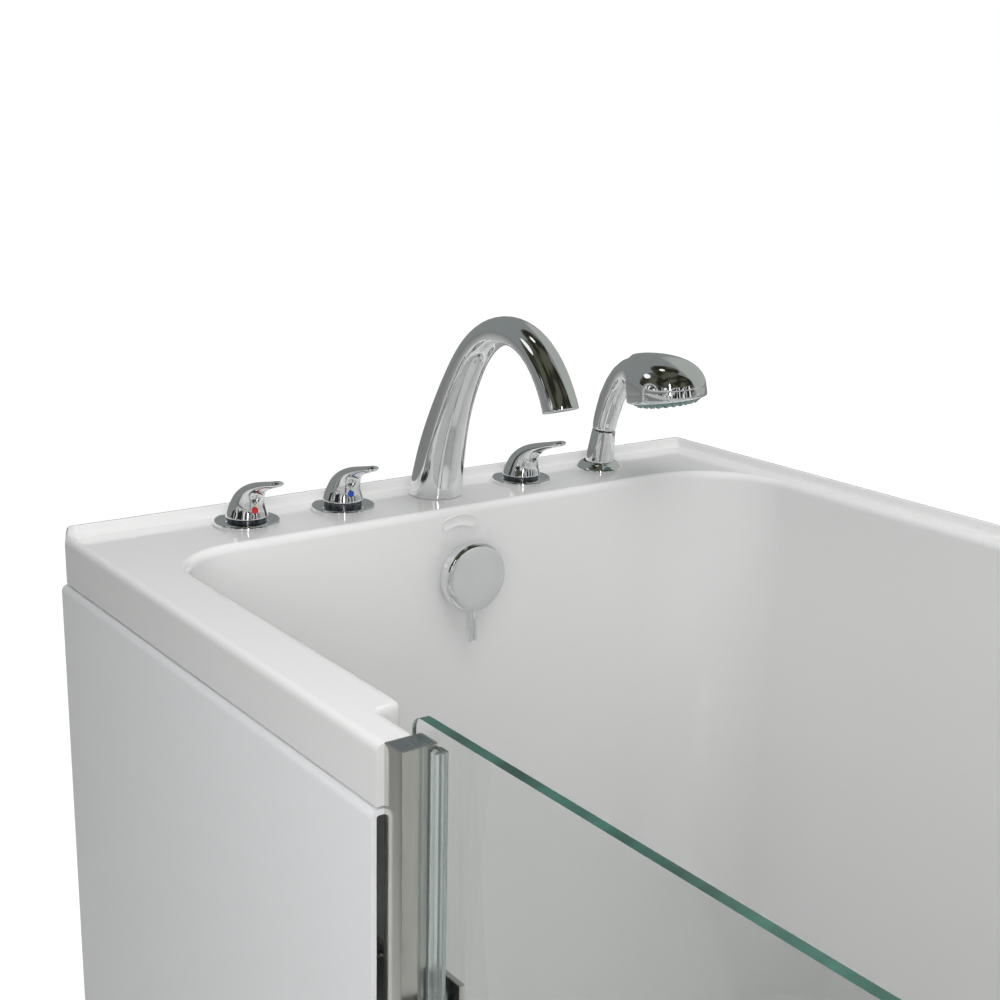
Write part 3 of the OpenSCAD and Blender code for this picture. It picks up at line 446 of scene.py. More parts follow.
class Finish(Enum):
    """Every finish of the tub, one per material slot of the record and a few within a slot."""

    SHELL = Acrylic("white_acrylic", (0.86, 0.862, 0.856), (0.845, 0.847, 0.842))
    APRON = Acrylic("apron_acrylic", (0.85, 0.852, 0.85), (0.835, 0.838, 0.836), 0.16, 0.24)
    STEEL = Brushed("brushed_stainless", (0.76, 0.755, 0.71), (1, 1, 0.02), 0.14, 0.22)
    CAP = Brushed("satin_cap", (0.50, 0.55, 0.57), (0.02, 1, 1), 0.22, 0.30)
    FASTENER = Brushed("turned_steel", (0.62, 0.62, 0.62), (1, 1, 0.2), 0.2, 0.34)
    FRAME = Brushed("galvanised_steel", (0.56, 0.58, 0.60), (0.4, 0.4, 0.4), 0.34, 0.55, 60, 0.0002)
    CHROME = Chrome("polished_plating")
    GLASS = ClearGlass()
    EDGE = GlassEdge()
    SEAL = Moulded("translucent_seal", (0.86, 0.95, 0.93), 0.20, 120, 0.06, 0.85)
    RUBBER = Moulded("black_rubber", (0.018, 0.018, 0.018), 0.7)
    BRASS = Brushed("machined_brass", (0.72, 0.55, 0.27), (1, 1, 0.2), 0.22, 0.36)
    COPPER = Brushed("drawn_copper", (0.72, 0.36, 0.22), (1, 0.1, 1), 0.25, 0.4)
    DARK = Moulded("dark_ring", (0.15, 0.16, 0.185), 0.22, metallic=0.9)
    PIPE = Moulded("waste_pipe", (0.06, 0.065, 0.07), 0.45)
    SPRAY = Moulded("spray_plate", (0.17, 0.30, 0.28), 0.30)
    OUTLET = Moulded("outlet_insert", (0.30, 0.31, 0.32), 0.35)
    RED = Moulded("hot_mark", (0.70, 0.03, 0.03), 0.22)
    BLUE = Moulded("cold_mark", (0.02, 0.10, 0.52), 0.22)
    PLY = Plywood()
    PAD = Moulded("foot_plastic", (0.035, 0.035, 0.035), 0.5)

    def material(self) -> bpy.types.Material:
        """The finish's material, made once."""
        return bpy.data.materials.get(self.value.name) or self.value.build()


# ------------------------------------------------------------------------------------------------
# Meshes


def merged_copy(node: str) -> bmesh.types.BMesh:
    """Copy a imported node's mesh with its doubles merged.

    Args:
        node: The node's name.

    Returns:
        The copy.
    """
    bm = bmesh.new()
    bm.from_mesh(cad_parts[node].data)
    bmesh.ops.remove_doubles(bm, verts=bm.verts, dist=2e-6)
    bmesh.ops.dissolve_degenerate(bm, edges=bm.edges, dist=1e-6)
    return bm


def turned(profile: Sequence[tuple[float, float]], steps: int = 96) -> bmesh.types.BMesh:
    """Spin a profile round the Z axis into a closed solid.

    Args:
        profile: Radius and height of each point in millimetres. Ends on the axis, or where it began.
        steps: Divisions of the full turn.

    Returns:
        The turned solid.
    """
    bm = bmesh.new()
    verts = [bm.verts.new((r * MM, 0, z * MM)) for r, z in profile]
    edges = [bm.edges.new(pair) for pair in zip(verts, verts[1:])]
    bmesh.ops.spin(
        bm, geom=verts + edges, angle=math.tau, steps=steps, axis=(0, 0, 1), cent=(0, 0, 0), use_merge=True
    )
    bmesh.ops.remove_doubles(bm, verts=bm.verts, dist=1e-6)
    bmesh.ops.recalc_face_normals(bm, faces=bm.faces)
    return bm


def rounded(corners: Sequence[tuple[float, float, float]], steps: int = 5) -> list[tuple[float, float]]:
    """Round the corners of a profile.

    Args:
        corners: Radius, height and rounding of each corner in millimetres.
        steps: Points per rounded corner.

    Returns:
        The profile's points.
    """
    points: list[tuple[float, float]] = []
    for i, (r, z, fillet) in enumerate(corners):
        here = Vector((r, z))
        if fillet <= 0 or i in (0, len(corners) - 1):
            points.append((r, z))
            continue
        before = (Vector(corners[i - 1][:2]) - here).normalized() * fillet
        after = (Vector(corners[i + 1][:2]) - here).normalized() * fillet
        for k in range(steps + 1):
            t = k / steps
            p = here + before * (1 - t) ** 2 + after * t**2
            points.append((p.x, p.y))
    return points


@dataclass(frozen=True)
class Station:
    """One oval section of a swept form, square to its heading in the XZ plane.

    Attributes:
        x: Centre along X.
        z: Height of the centre.
        heading: Direction of the sweep above X, in degrees.
        wide: Half width along Y.
        thick: Half thickness.
    """

    x: float
    z: float
    heading: float
    wide: float
    thick: float

    def matrix(self) -> Matrix:
        """Placement of a unit circle that lies in XY."""
        turn = Matrix.Rotation(math.radians(90 - self.heading), 4, "Y")
        return (
            Matrix.Translation(Vector((self.x, 0, self.z)) * MM)
            @ turn
            @ Matrix.Diagonal((self.thick * MM, self.wide * MM, 1, 1))
        )


def swept(stations: Sequence[Station], around: int = 24) -> bmesh.types.BMesh:
    """Bridge oval sections into a closed form.

    Args:
        stations: The sections in order.
        around: Points round each section.

    Returns:
        The swept form.
    """
    bm = bmesh.new()
    last: Optional[list[bmesh.types.BMEdge]] = None
    ends: list[list[bmesh.types.BMEdge]] = []
    for i, station in enumerate(stations):
        made = bmesh.ops.create_circle(
            bm, cap_ends=False, segments=around, radius=1, matrix=station.matrix()
        )
        edges = list({e for v in made["verts"] for e in v.link_edges})
        if last:
            bmesh.ops.bridge_loops(bm, edges=last + edges)
        if i in (0, len(stations) - 1):
            ends.append(edges)
        last = edges
    for edges in ends:
        bmesh.ops.edgeloop_fill(bm, edges=edges)
    bmesh.ops.recalc_face_normals(bm, faces=bm.faces)
    return bm


def block(low: Sequence[float], high: Sequence[float]) -> bmesh.types.BMesh:
    """A block with sharp edges.

    Args:
        low: Lowest corner in millimetres.
        high: Highest corner in millimetres.

    Returns:
        The block.
    """
    bm = bmesh.new()
    lo, hi = Vector(low) * MM, Vector(high) * MM
    matrix = Matrix.Translation((lo + hi) / 2) @ Matrix.Diagonal((*(hi - lo), 1))
    bmesh.ops.create_cube(bm, size=1, matrix=matrix)
    return bm


def rod(radius: float, low: float, high: float, steps: int = 48) -> bmesh.types.BMesh:
    """A closed cylinder on the Z axis.

    Args:
        radius: Its radius in millimetres.
        low: Height of its foot.
        high: Height of its top.
        steps: Points round it.

    Returns:
        The cylinder.
    """
    bm = bmesh.new()
    bmesh.ops.create_cone(
        bm, cap_ends=True, segments=steps, radius1=radius * MM, radius2=radius * MM,
        depth=(high - low) * MM, matrix=Matrix.Translation((0, 0, (low + high) / 2 * MM)),
    )
    return bm


def soften(
    bm: bmesh.types.BMesh, edges: Iterable[bmesh.types.BMEdge], width: float, segments: int = 3
) -> None:
    """Bevel edges to a round.

    Args:
        bm: The mesh.
        edges: The edges to bevel.
        width: Width of the bevel in millimetres.
        segments: Steps of the round.
    """
    bmesh.ops.bevel(
        bm, geom=list(edges), offset=width * MM, offset_type="OFFSET", segments=segments, profile=0.5,
        affect="EDGES", material=-1, clamp_overlap=True,
    )


def pooled(parts: Iterable[bmesh.types.BMesh]) -> bmesh.types.BMesh:
    """Gather several meshes into one.

    Args:
        parts: The meshes, which are freed.

    Returns:
        The gathered mesh.
    """
    whole = bmesh.new()
    for part in parts:
        spare = bpy.data.meshes.new("spare")
        part.to_mesh(spare)
        part.free()
        whole.from_mesh(spare)
        bpy.data.meshes.remove(spare)
    return whole


def moved(bm: bmesh.types.BMesh, place: Matrix) -> bmesh.types.BMesh:
    """Transform a mesh and return it."""
    bmesh.ops.transform(bm, matrix=place, verts=bm.verts)
    return bm


def at(x: float, y: float, z: float) -> Matrix:
    """A translation by millimetres."""
    return Matrix.Translation(Vector((x, y, z)) * MM)


def along_x(x: float, y: float, z: float) -> Matrix:
    """Lay a form that stands on Z along X, at a point in millimetres."""
    return at(x, y, z) @ Matrix.Rotation(math.radians(90), 4, "Y")


@dataclass
class Make:
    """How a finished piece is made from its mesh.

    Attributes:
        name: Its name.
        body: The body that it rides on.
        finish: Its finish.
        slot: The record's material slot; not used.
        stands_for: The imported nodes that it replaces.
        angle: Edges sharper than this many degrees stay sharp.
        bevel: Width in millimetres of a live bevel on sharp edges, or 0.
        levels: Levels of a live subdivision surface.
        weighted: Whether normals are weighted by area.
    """

    name: str
    body: Body
    finish: Finish
    slot: str
    stands_for: tuple[str, ...] = ()
    angle: float = 35.0
    bevel: float = 0.0
    levels: int = 0
    weighted: bool = False

    def piece(self, bm: bmesh.types.BMesh, *more: Finish) -> bpy.types.Object:
        """Turn a mesh into the finished piece.

        Args:
            bm: The mesh, in place, which is freed.
            more: Further finishes, for faces with a material index above 0.

        Returns:
            The piece.
        """
        mesh = bpy.data.meshes.new(self.name)
        bm.to_mesh(mesh)
        bm.free()
        mesh.polygons.foreach_set("use_smooth", [True] * len(mesh.polygons))
        mesh.set_sharp_from_angle(angle=math.radians(self.angle))
        obj = bpy.data.objects.new(self.name, mesh)
        bpy.context.scene.collection.objects.link(obj)
        for finish in (self.finish, *more):
            mesh.materials.append(finish.material())
        if self.bevel > 0:
            bevel = obj.modifiers.new("soft_edges", "BEVEL")
            bevel.width, bevel.segments, bevel.limit_method = self.bevel * MM, 3, "ANGLE"
            bevel.angle_limit = math.radians(self.angle)
            bevel.use_clamp_overlap = True
        if self.levels:
            surface = obj.modifiers.new("surface", "SUBSURF")
            surface.levels = surface.render_levels = self.levels
        if self.weighted:
            normals = obj.modifiers.new("normals", "WEIGHTED_NORMAL")
            normals.keep_sharp = True
        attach(obj, self.body.value)
        if self.stands_for:
            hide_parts(*self.stands_for)
        log.info("%s: %d faces, on %s", self.name, len(mesh.polygons), self.body.value)
        return obj


def plated(name: str, body: Body, node: str, **how: object) -> Make:
    """A plated piece that stands for one node."""
    return Make(name, body, Finish.CHROME, "polished_chrome", (node,), **how)


def spare_object(bm: bmesh.types.BMesh) -> bpy.types.Object:
    """Put a mesh into a passing object.

    Args:
        bm: The mesh, which is freed.

    Returns:
        The object.
    """
    mesh = bpy.data.meshes.new("spare")
    bm.to_mesh(mesh)
    bm.free()
    obj = bpy.data.objects.new("spare", mesh)
    bpy.context.scene.collection.objects.link(obj)
    return obj


def applied(obj: bpy.types.Object, *spares: bpy.types.Object) -> bmesh.types.BMesh:
    """Read a passing object's mesh with its modifiers applied.

    Args:
        obj: The object, which is removed.
        spares: Other passing objects to remove.

    Returns:
        The finished mesh.
    """
    result = bmesh.new()
    evaluated = obj.evaluated_get(bpy.context.evaluated_depsgraph_get())
    result.from_mesh(evaluated.to_mesh())
    evaluated.to_mesh_clear()
    for spare in (obj, *spares):
        mesh = spare.data
        bpy.data.objects.remove(spare)
        bpy.data.meshes.remove(mesh)
    return result


def carved(bm: bmesh.types.BMesh, cutter: bmesh.types.BMesh, levels: int = 0) -> bmesh.types.BMesh:
    """Cut one mesh out of another, after smoothing it.

    Args:
        bm: The mesh to cut, which is freed.
        cutter: The mesh to cut away, which is freed.
        levels: Levels of subdivision surface before the cut.

    Returns:
        The cut mesh.
    """
    blank, tool = spare_object(bm), spare_object(cutter)
    if levels:
        surface = blank.modifiers.new("surface", "SUBSURF")
        surface.levels = surface.render_levels = levels
    cut = blank.modifiers.new("cut", "BOOLEAN")
    cut.object, cut.operation, cut.solver = tool, "DIFFERENCE", "EXACT"
    return applied(blank, tool)


def blended(bm: bmesh.types.BMesh, grain: float = 1.1, passes: int = 40) -> bmesh.types.BMesh:
    """Merge closed forms that cross into one skin and soften where they meet.

    Args:
        bm: The forms, which are freed.
        grain: Size of the skin's facets in millimetres.
        passes: Passes of smoothing.

    Returns:
        The skin.
    """
    blank = spare_object(bm)
    merge = blank.modifiers.new("merge", "REMESH")
    merge.mode, merge.voxel_size, merge.use_smooth_shade = "VOXEL", grain * MM, True
    smooth = blank.modifiers.new("smooth", "SMOOTH")
    smooth.factor, smooth.iterations = 0.5, passes
    return applied(blank)


# ------------------------------------------------------------------------------------------------
# The tub


@dataclass
class Tub:
    """The moulded shell with its apron, and the bare raised badge over the overflow.

    Attributes:
        wall_x: Face of the tap-end wall.
        row_y: Middle of the tap row.
        badge_z: Height of the badge's middle.
        badge_arc: Radius of the badge's arch.
        badge_half: Half angle of the arch, in degrees.
        badge_wide: Width of the badge's band.
        badge_rise: How far it stands out of the wall.
        badge_aside: How far its middle is beside the row's.
        badge_sunk: How deep its foot is in the wall.
        badge_bead: Width of the bead round it.
        badge_sink: How deep the pad lies within the bead.
    """

    wall_x: float = WALL_X
    row_y: float = ROW_Y
    badge_z: float = 952.0
    badge_arc: float = 36.0
    badge_half: float = 25.3
    badge_wide: float = 11.2
    badge_rise: float = 1.0
    badge_aside: float = -11.4
    badge_sunk: float = 0.4
    badge_bead: float = 1.6
    badge_sink: float = 0.6

    def shell(self) -> None:
        """Dress the moulded shell, with each flat made one face so that it shades flat."""
        bm = merged_copy("tub_shell")
        bmesh.ops.dissolve_limit(bm, angle_limit=math.radians(0.4), verts=bm.verts, edges=bm.edges)
        Make(
            "tub_moulding", Body.TUB, Finish.SHELL, "acrylic", ("tub_shell",), angle=48, weighted=True
        ).piece(bm)

    def apron(self) -> None:
        """Dress the front panel."""
        Make(
            "apron_panel", Body.TUB, Finish.APRON, "apron_acrylic", ("front_apron",), angle=40, bevel=1.0,
            weighted=True,
        ).piece(merged_copy("front_apron"))

    def badge_outline(self, arc_steps: int = 20, end_steps: int = 8) -> list[tuple[float, float]]:
        """Go once round the badge: along its upper arch, round an end, back along the lower one.

        Args:
            arc_steps: Steps along each arch.
            end_steps: Steps round each end.

        Returns:
            Points across and up from the badge's middle, in millimetres.
        """
        half = self.badge_wide / 2
        outline: list[tuple[float, float]] = []
        for side, start in ((1, -1), (-1, 1)):
            radius = self.badge_arc + side * half
            for k in range(arc_steps + 1):
                a = math.radians(start * self.badge_half * (1 - 2 * k / arc_steps))
                outline.append((radius * math.sin(a), radius * math.cos(a) - self.badge_arc))
            end = math.radians(-start * self.badge_half)
            for k in range(1, end_steps):
                t = math.pi * k / end_steps
                r, out = self.badge_arc + math.cos(t) * half * side, start * math.sin(t) * half
                outline.append((
                    r * math.sin(end) - out * math.cos(end),
                    r * math.cos(end) - self.badge_arc + out * math.sin(end),
                ))
        return outline

    def badge(self) -> None:
        """Raise the arched badge, left bare: an outline bead round a low pad."""
        bm = bmesh.new()
        x, y, z = self.wall_x - self.badge_sunk, self.row_y + self.badge_aside, self.badge_z
        outline = self.badge_outline()
        face = bm.faces.new([
            bm.verts.new((x * MM, (y + across) * MM, (z + up) * MM)) for across, up in outline
        ])
        bmesh.ops.recalc_face_normals(bm, faces=bm.faces)
        if face.normal.x < 0:
            face.normal_flip()
        top = bmesh.ops.extrude_face_region(bm, geom=[face])
        raised = [v for v in top["geom"] if isinstance(v, bmesh.types.BMVert)]
        height = (self.badge_rise + self.badge_sunk) * MM
        bmesh.ops.translate(bm, verts=raised, vec=(height, 0, 0))
        cap = [f for f in top["geom"] if isinstance(f, bmesh.types.BMFace)]
        bmesh.ops.inset_region(
            bm, faces=cap, thickness=self.badge_bead * MM, depth=-self.badge_sink * MM
        )
        bmesh.ops.recalc_face_normals(bm, faces=bm.faces)
        Make("bare_badge", Body.TUB, Finish.SHELL, "acrylic", angle=60, bevel=0.25).piece(bm)

    def build(self) -> None:
        """Build the tub."""
        self.shell()
        self.apron()
        self.badge()


# ------------------------------------------------------------------------------------------------
# The door


@dataclass
class Door:
    """The frame, gasket, glass leaf, hinges and latch.

    Attributes:
        frame_edge: Rounding of the frame's edges.
        cap_edge: Rounding of the posts' caps.
        arris: Ground edge of the glass.
        fitting_edge: Rounding of the hinges, the latch and the screws.
    """

    frame_edge: float = 0.7
    cap_edge: float = 0.5
    arris: float = 0.8
    fitting_edge: float = 0.8

    def surround(self) -> None:
        """Dress the frame, its caps and the gasket."""
        Make(
            "door_surround", Body.TUB, Finish.STEEL, "stainless", ("door_frame",),
            bevel=self.frame_edge,
        ).piece(merged_copy("door_frame"))
        Make(
            "post_tops", Body.TUB, Finish.CAP, "stainless", ("post_caps",), bevel=self.cap_edge
        ).piece(merged_copy("post_caps"))
        Make(
            "leaf_seal", Body.TUB, Finish.SEAL, "pale_seal", ("door_gasket",), angle=50,
            weighted=True,
        ).piece(merged_copy("door_gasket"))

    def leaf(self) -> None:
        """Dress the glass: clear faces, green polished edges with a ground arris."""
        bm = merged_copy("door_glass")
        square_on = 0.7
        for face in bm.faces:
            face.material_index = 0 if abs(face.normal.y) > square_on else 1
        Make(
            "glass_leaf", Body.DOOR, Finish.GLASS, "clear_glass", ("door_glass",), bevel=self.arris
        ).piece(bm, Finish.EDGE)

    def ironmongery(self) -> None:
        """Dress the hinges, the latch and the screws."""
        for name, node, body, finish, slot in (
            ("hinge_plates", "hinge_brackets", Body.TUB, Finish.STEEL, "stainless"),
            ("hinge_axles", "hinge_pins", Body.TUB, Finish.FASTENER, "fastener_steel"),
            ("plate_screws", "bracket_screws", Body.TUB, Finish.FASTENER, "fastener_steel"),
            ("keeper_hook", "latch_keeper", Body.TUB, Finish.STEEL, "stainless"),
            ("glass_hinges", "hinge_leaves", Body.DOOR, Finish.STEEL, "stainless"),
            ("glass_bolts", "hinge_bolts", Body.DOOR, Finish.FASTENER, "fastener_steel"),
            ("latch_boss", "latch_base", Body.DOOR, Finish.CHROME, "polished_chrome"),
            ("latch_handle", "latch_lever", Body.LATCH, Finish.CHROME, "polished_chrome"),
        ):
            make = Make(name, body, finish, slot, (node,), bevel=self.fitting_edge)
            make.piece(merged_copy(node))

    def build(self) -> None:
        """Build the door."""
        self.surround()
        self.leaf()
        self.ironmongery()


# ------------------------------------------------------------------------------------------------
# The taps


@dataclass
class LeverTap:
    """One deck tap: escutcheon, dark ring and cast lever handle.

    Attributes:
        label: Prefix of the pieces' names.
        y: Its place along the row.
        body: The handle's body.
        turn: How far the lever points round from +X, in degrees.
        mark: Finish of the index button, if it has one.
        mark_slot: The button's material slot.
        x: The row's place.
        deck: Height of the deck.
        flange: Radius of the escutcheon.
        flange_rise: Height of the escutcheon.
        flange_bore: Radius of its hole.
        ring_rise: Height of the dark ring.
        gap: Gap under the handle.
        index_turn: How far the button points round from the lever.
        spindle_top: Height of the spindle's end above the deck.
        spindle_bore: Radius of the handle's bore for it.
        spindle_room: Room over its end.
        slot_ends: Where the lever's slot begins and ends.
        slot_half: Half width of the slot.
        slot_cut: Heights between which the slot is cut.
        hollow: Radius of the thumb hollow under the lever.
        hollow_reach: Its centre, out from the handle's axis.
        hollow_rise: Height of that centre.
        mark_reach: Where the index button's foot is, out from the axis.
        mark_rise: Height of the button.
        stations: Sections of the cast handle, from its foot along the lever.
    """

    label: str
    y: float
    body: Body
    turn: float = 0.0
    mark: Optional[Finish] = None
    mark_slot: str = ""
    x: float = ROW_X
    deck: float = DECK
    flange: float = 31.8
    flange_rise: float = 5.0
    flange_bore: float = 14.2
    ring_rise: float = 2.4
    gap: float = 0.3
    index_turn: float = -8.0
    spindle_top: float = 24.0
    spindle_bore: float = 4.05
    spindle_room: float = 1.5
    slot_ends: tuple[float, float] = (38.6, 51.4)
    slot_half: float = 3.4
    slot_cut: tuple[float, float] = (20.0, 60.0)
    hollow: float = 9.0
    hollow_reach: float = 25.5
    hollow_rise: float = 22.0
    mark_reach: float = 17.1
    mark_rise: float = 10.0
    stations: tuple[Station, ...] = field(default_factory=lambda: (
        Station(0, 0, 90, 20.8, 20.8),
        Station(0.1, 0.8, 90, 21.0, 21.0),
        Station(0.3, 4, 90, 20.0, 20.0),
        Station(1.5, 10.5, 86, 17.7, 17.7),
        Station(3.2, 16, 80, 16.3, 16.0),
        Station(6.5, 21.4, 70, 15.0, 13.4),
        Station(11.5, 26.2, 54, 13.1, 10.1),
        Station(18.5, 30.4, 36, 11.2, 7.1),
        Station(28, 34.5, 22, 10.1, 4.7),
        Station(39, 38.0, 16, 9.9, 3.6),
        Station(49, 40.8, 14, 9.3, 3.4),
        Station(54.5, 42.1, 12, 7.4, 3.0),
        Station(57.2, 42.7, 12, 4.2, 2.0),
    ))

    def foot(self) -> float:
        """Height of the handle's foot above the deck."""
        return self.flange_rise + self.ring_rise + self.gap

    def handle_place(self) -> Matrix:
        """Placement of the handle at rest."""
        place = at(self.x, self.y, self.deck + self.foot())
        return place @ Matrix.Rotation(math.radians(self.turn), 4, "Z")

    def index_place(self) -> Matrix:
        """Turn from the lever's direction to the index button's."""
        return Matrix.Rotation(math.radians(self.index_turn), 4, "Z")

    def flange_piece(self) -> None:
        """Turn the escutcheon."""
        profile = rounded([
            (self.flange_bore, 0, 0), (self.flange, 0, 0.2), (self.flange, self.flange_rise, 1.9),
            (self.flange_bore, self.flange_rise, 0), (self.flange_bore, 0, 0),
        ])
        make = plated(f"{self.label}_flange", Body.TUB, f"{self.label}_escutcheon")
        make.piece(moved(turned(profile), at(self.x, self.y, self.deck)))

    def slot_cutter(self) -> bmesh.types.BMesh:
        """Make the form that cuts the lever's slot, its ends all but half round.

        Returns:
            The cutter.
        """
        start, end = self.slot_ends
        low, high = self.slot_cut
        cutter = block((start, -self.slot_half, low), (end, self.slot_half, high))
        upright = [
            e for e in cutter.edges
            if abs(e.verts[0].co.z - e.verts[1].co.z) > self.slot_half * MM
        ]
        soften(cutter, upright, self.slot_half * 0.98, 8)
        return cutter

    def hollow_cutter(self) -> bmesh.types.BMesh:
        """Make the ball that cuts the hollow under the lever.

        Returns:
            The cutter.
        """
        ball = bmesh.new()
        bmesh.ops.create_uvsphere(ball, u_segments=48, v_segments=32, radius=self.hollow * MM)
        return moved(ball, self.index_place() @ at(self.hollow_reach, 0, self.hollow_rise))

    def handle(self) -> None:
        """Sweep the cast handle, bore it for its spindle, and cut its slot and thumb hollow."""
        overshoot = 1
        top = self.spindle_top - self.foot() + self.spindle_room
        bore = rod(self.spindle_bore, -overshoot, top)
        cast = carved(swept(self.stations), self.slot_cutter(), levels=2)
        for cutter in (bore, self.hollow_cutter()):
            cast = carved(cast, cutter)
        plated(
            f"{self.label}_handle", self.body, f"{self.label}_lever", angle=50, weighted=True
        ).piece(moved(cast, self.handle_place()))

    def button(self) -> None:
        """Dome the index button, if there is one."""
        if self.mark is None:
            return
        out = along_x(self.mark_reach, 0, self.mark_rise)
        dome = turned([(0, 0), (3.2, 0), (3.2, 2.9), (2.6, 3.3), (1.4, 3.6), (0, 3.7)], steps=32)
        Make(
            f"{self.label}_mark", self.body, self.mark, self.mark_slot, (f"{self.label}_index",)
        ).piece(moved(dome, self.handle_place() @ self.index_place() @ out))

    def build(self) -> None:
        """Build the tap."""
        self.flange_piece()
        self.handle()
        self.button()


@dataclass
class Spout:
    """The cast spout and the insert in its mouth.

    Attributes:
        x: The row's place.
        y: Its place along the row.
        deck: Height of the deck.
        stations: Its sections, from the foot to the mouth.
    """

    x: float = ROW_X
    y: float = ROW_Y
    deck: float = DECK
    stations: tuple[Station, ...] = field(default_factory=lambda: (
        Station(-2, 0, 90, 28.1, 28.1),
        Station(-2, 0.7, 90, 28.5, 28.5),
        Station(-1.7, 3, 89, 28.4, 28.4),
        Station(0, 14, 86, 27.3, 27.3),
        Station(5, 38, 80, 25.4, 25.4),
        Station(13, 65, 73, 23.2, 22.9),
        Station(25, 95, 65, 20.5, 20),
        Station(41, 126, 56, 18.8, 18),
        Station(62, 158.5, 43, 17.8, 16.2),
        Station(89, 180, 24, 17.6, 15),
        Station(120, 189, 2, 17.4, 14),
        Station(152, 183, -21, 17.2, 14),
        Station(178, 164.5, -44, 17.2, 15),
        Station(195, 141, -62, 17.2, 16),
        Station(202, 126, -71, 17.2, 16.9),
        Station(202.9, 123.2, -72, 17.2, 17.0),
        Station(203, 123, -72, 16.6, 16.4),
        Station(203, 123, -72, 13.8, 13.8),
        Station(202.7, 123.8, -72, 13.0, 13.0),
        Station(199.4, 134, -72, 12.8, 12.8),
    ))

    def build(self) -> None:
        """Build the spout and its insert."""
        cast = moved(swept(self.stations, around=28), at(self.x, self.y, self.deck))
        plated("spout_casting", Body.TUB, "spout_body", angle=180, levels=2).piece(cast)
        Make(
            "spout_insert", Body.TUB, Finish.OUTLET, "outlet_plastic", ("spout_outlet",), bevel=0.3
        ).piece(merged_copy("spout_outlet"))


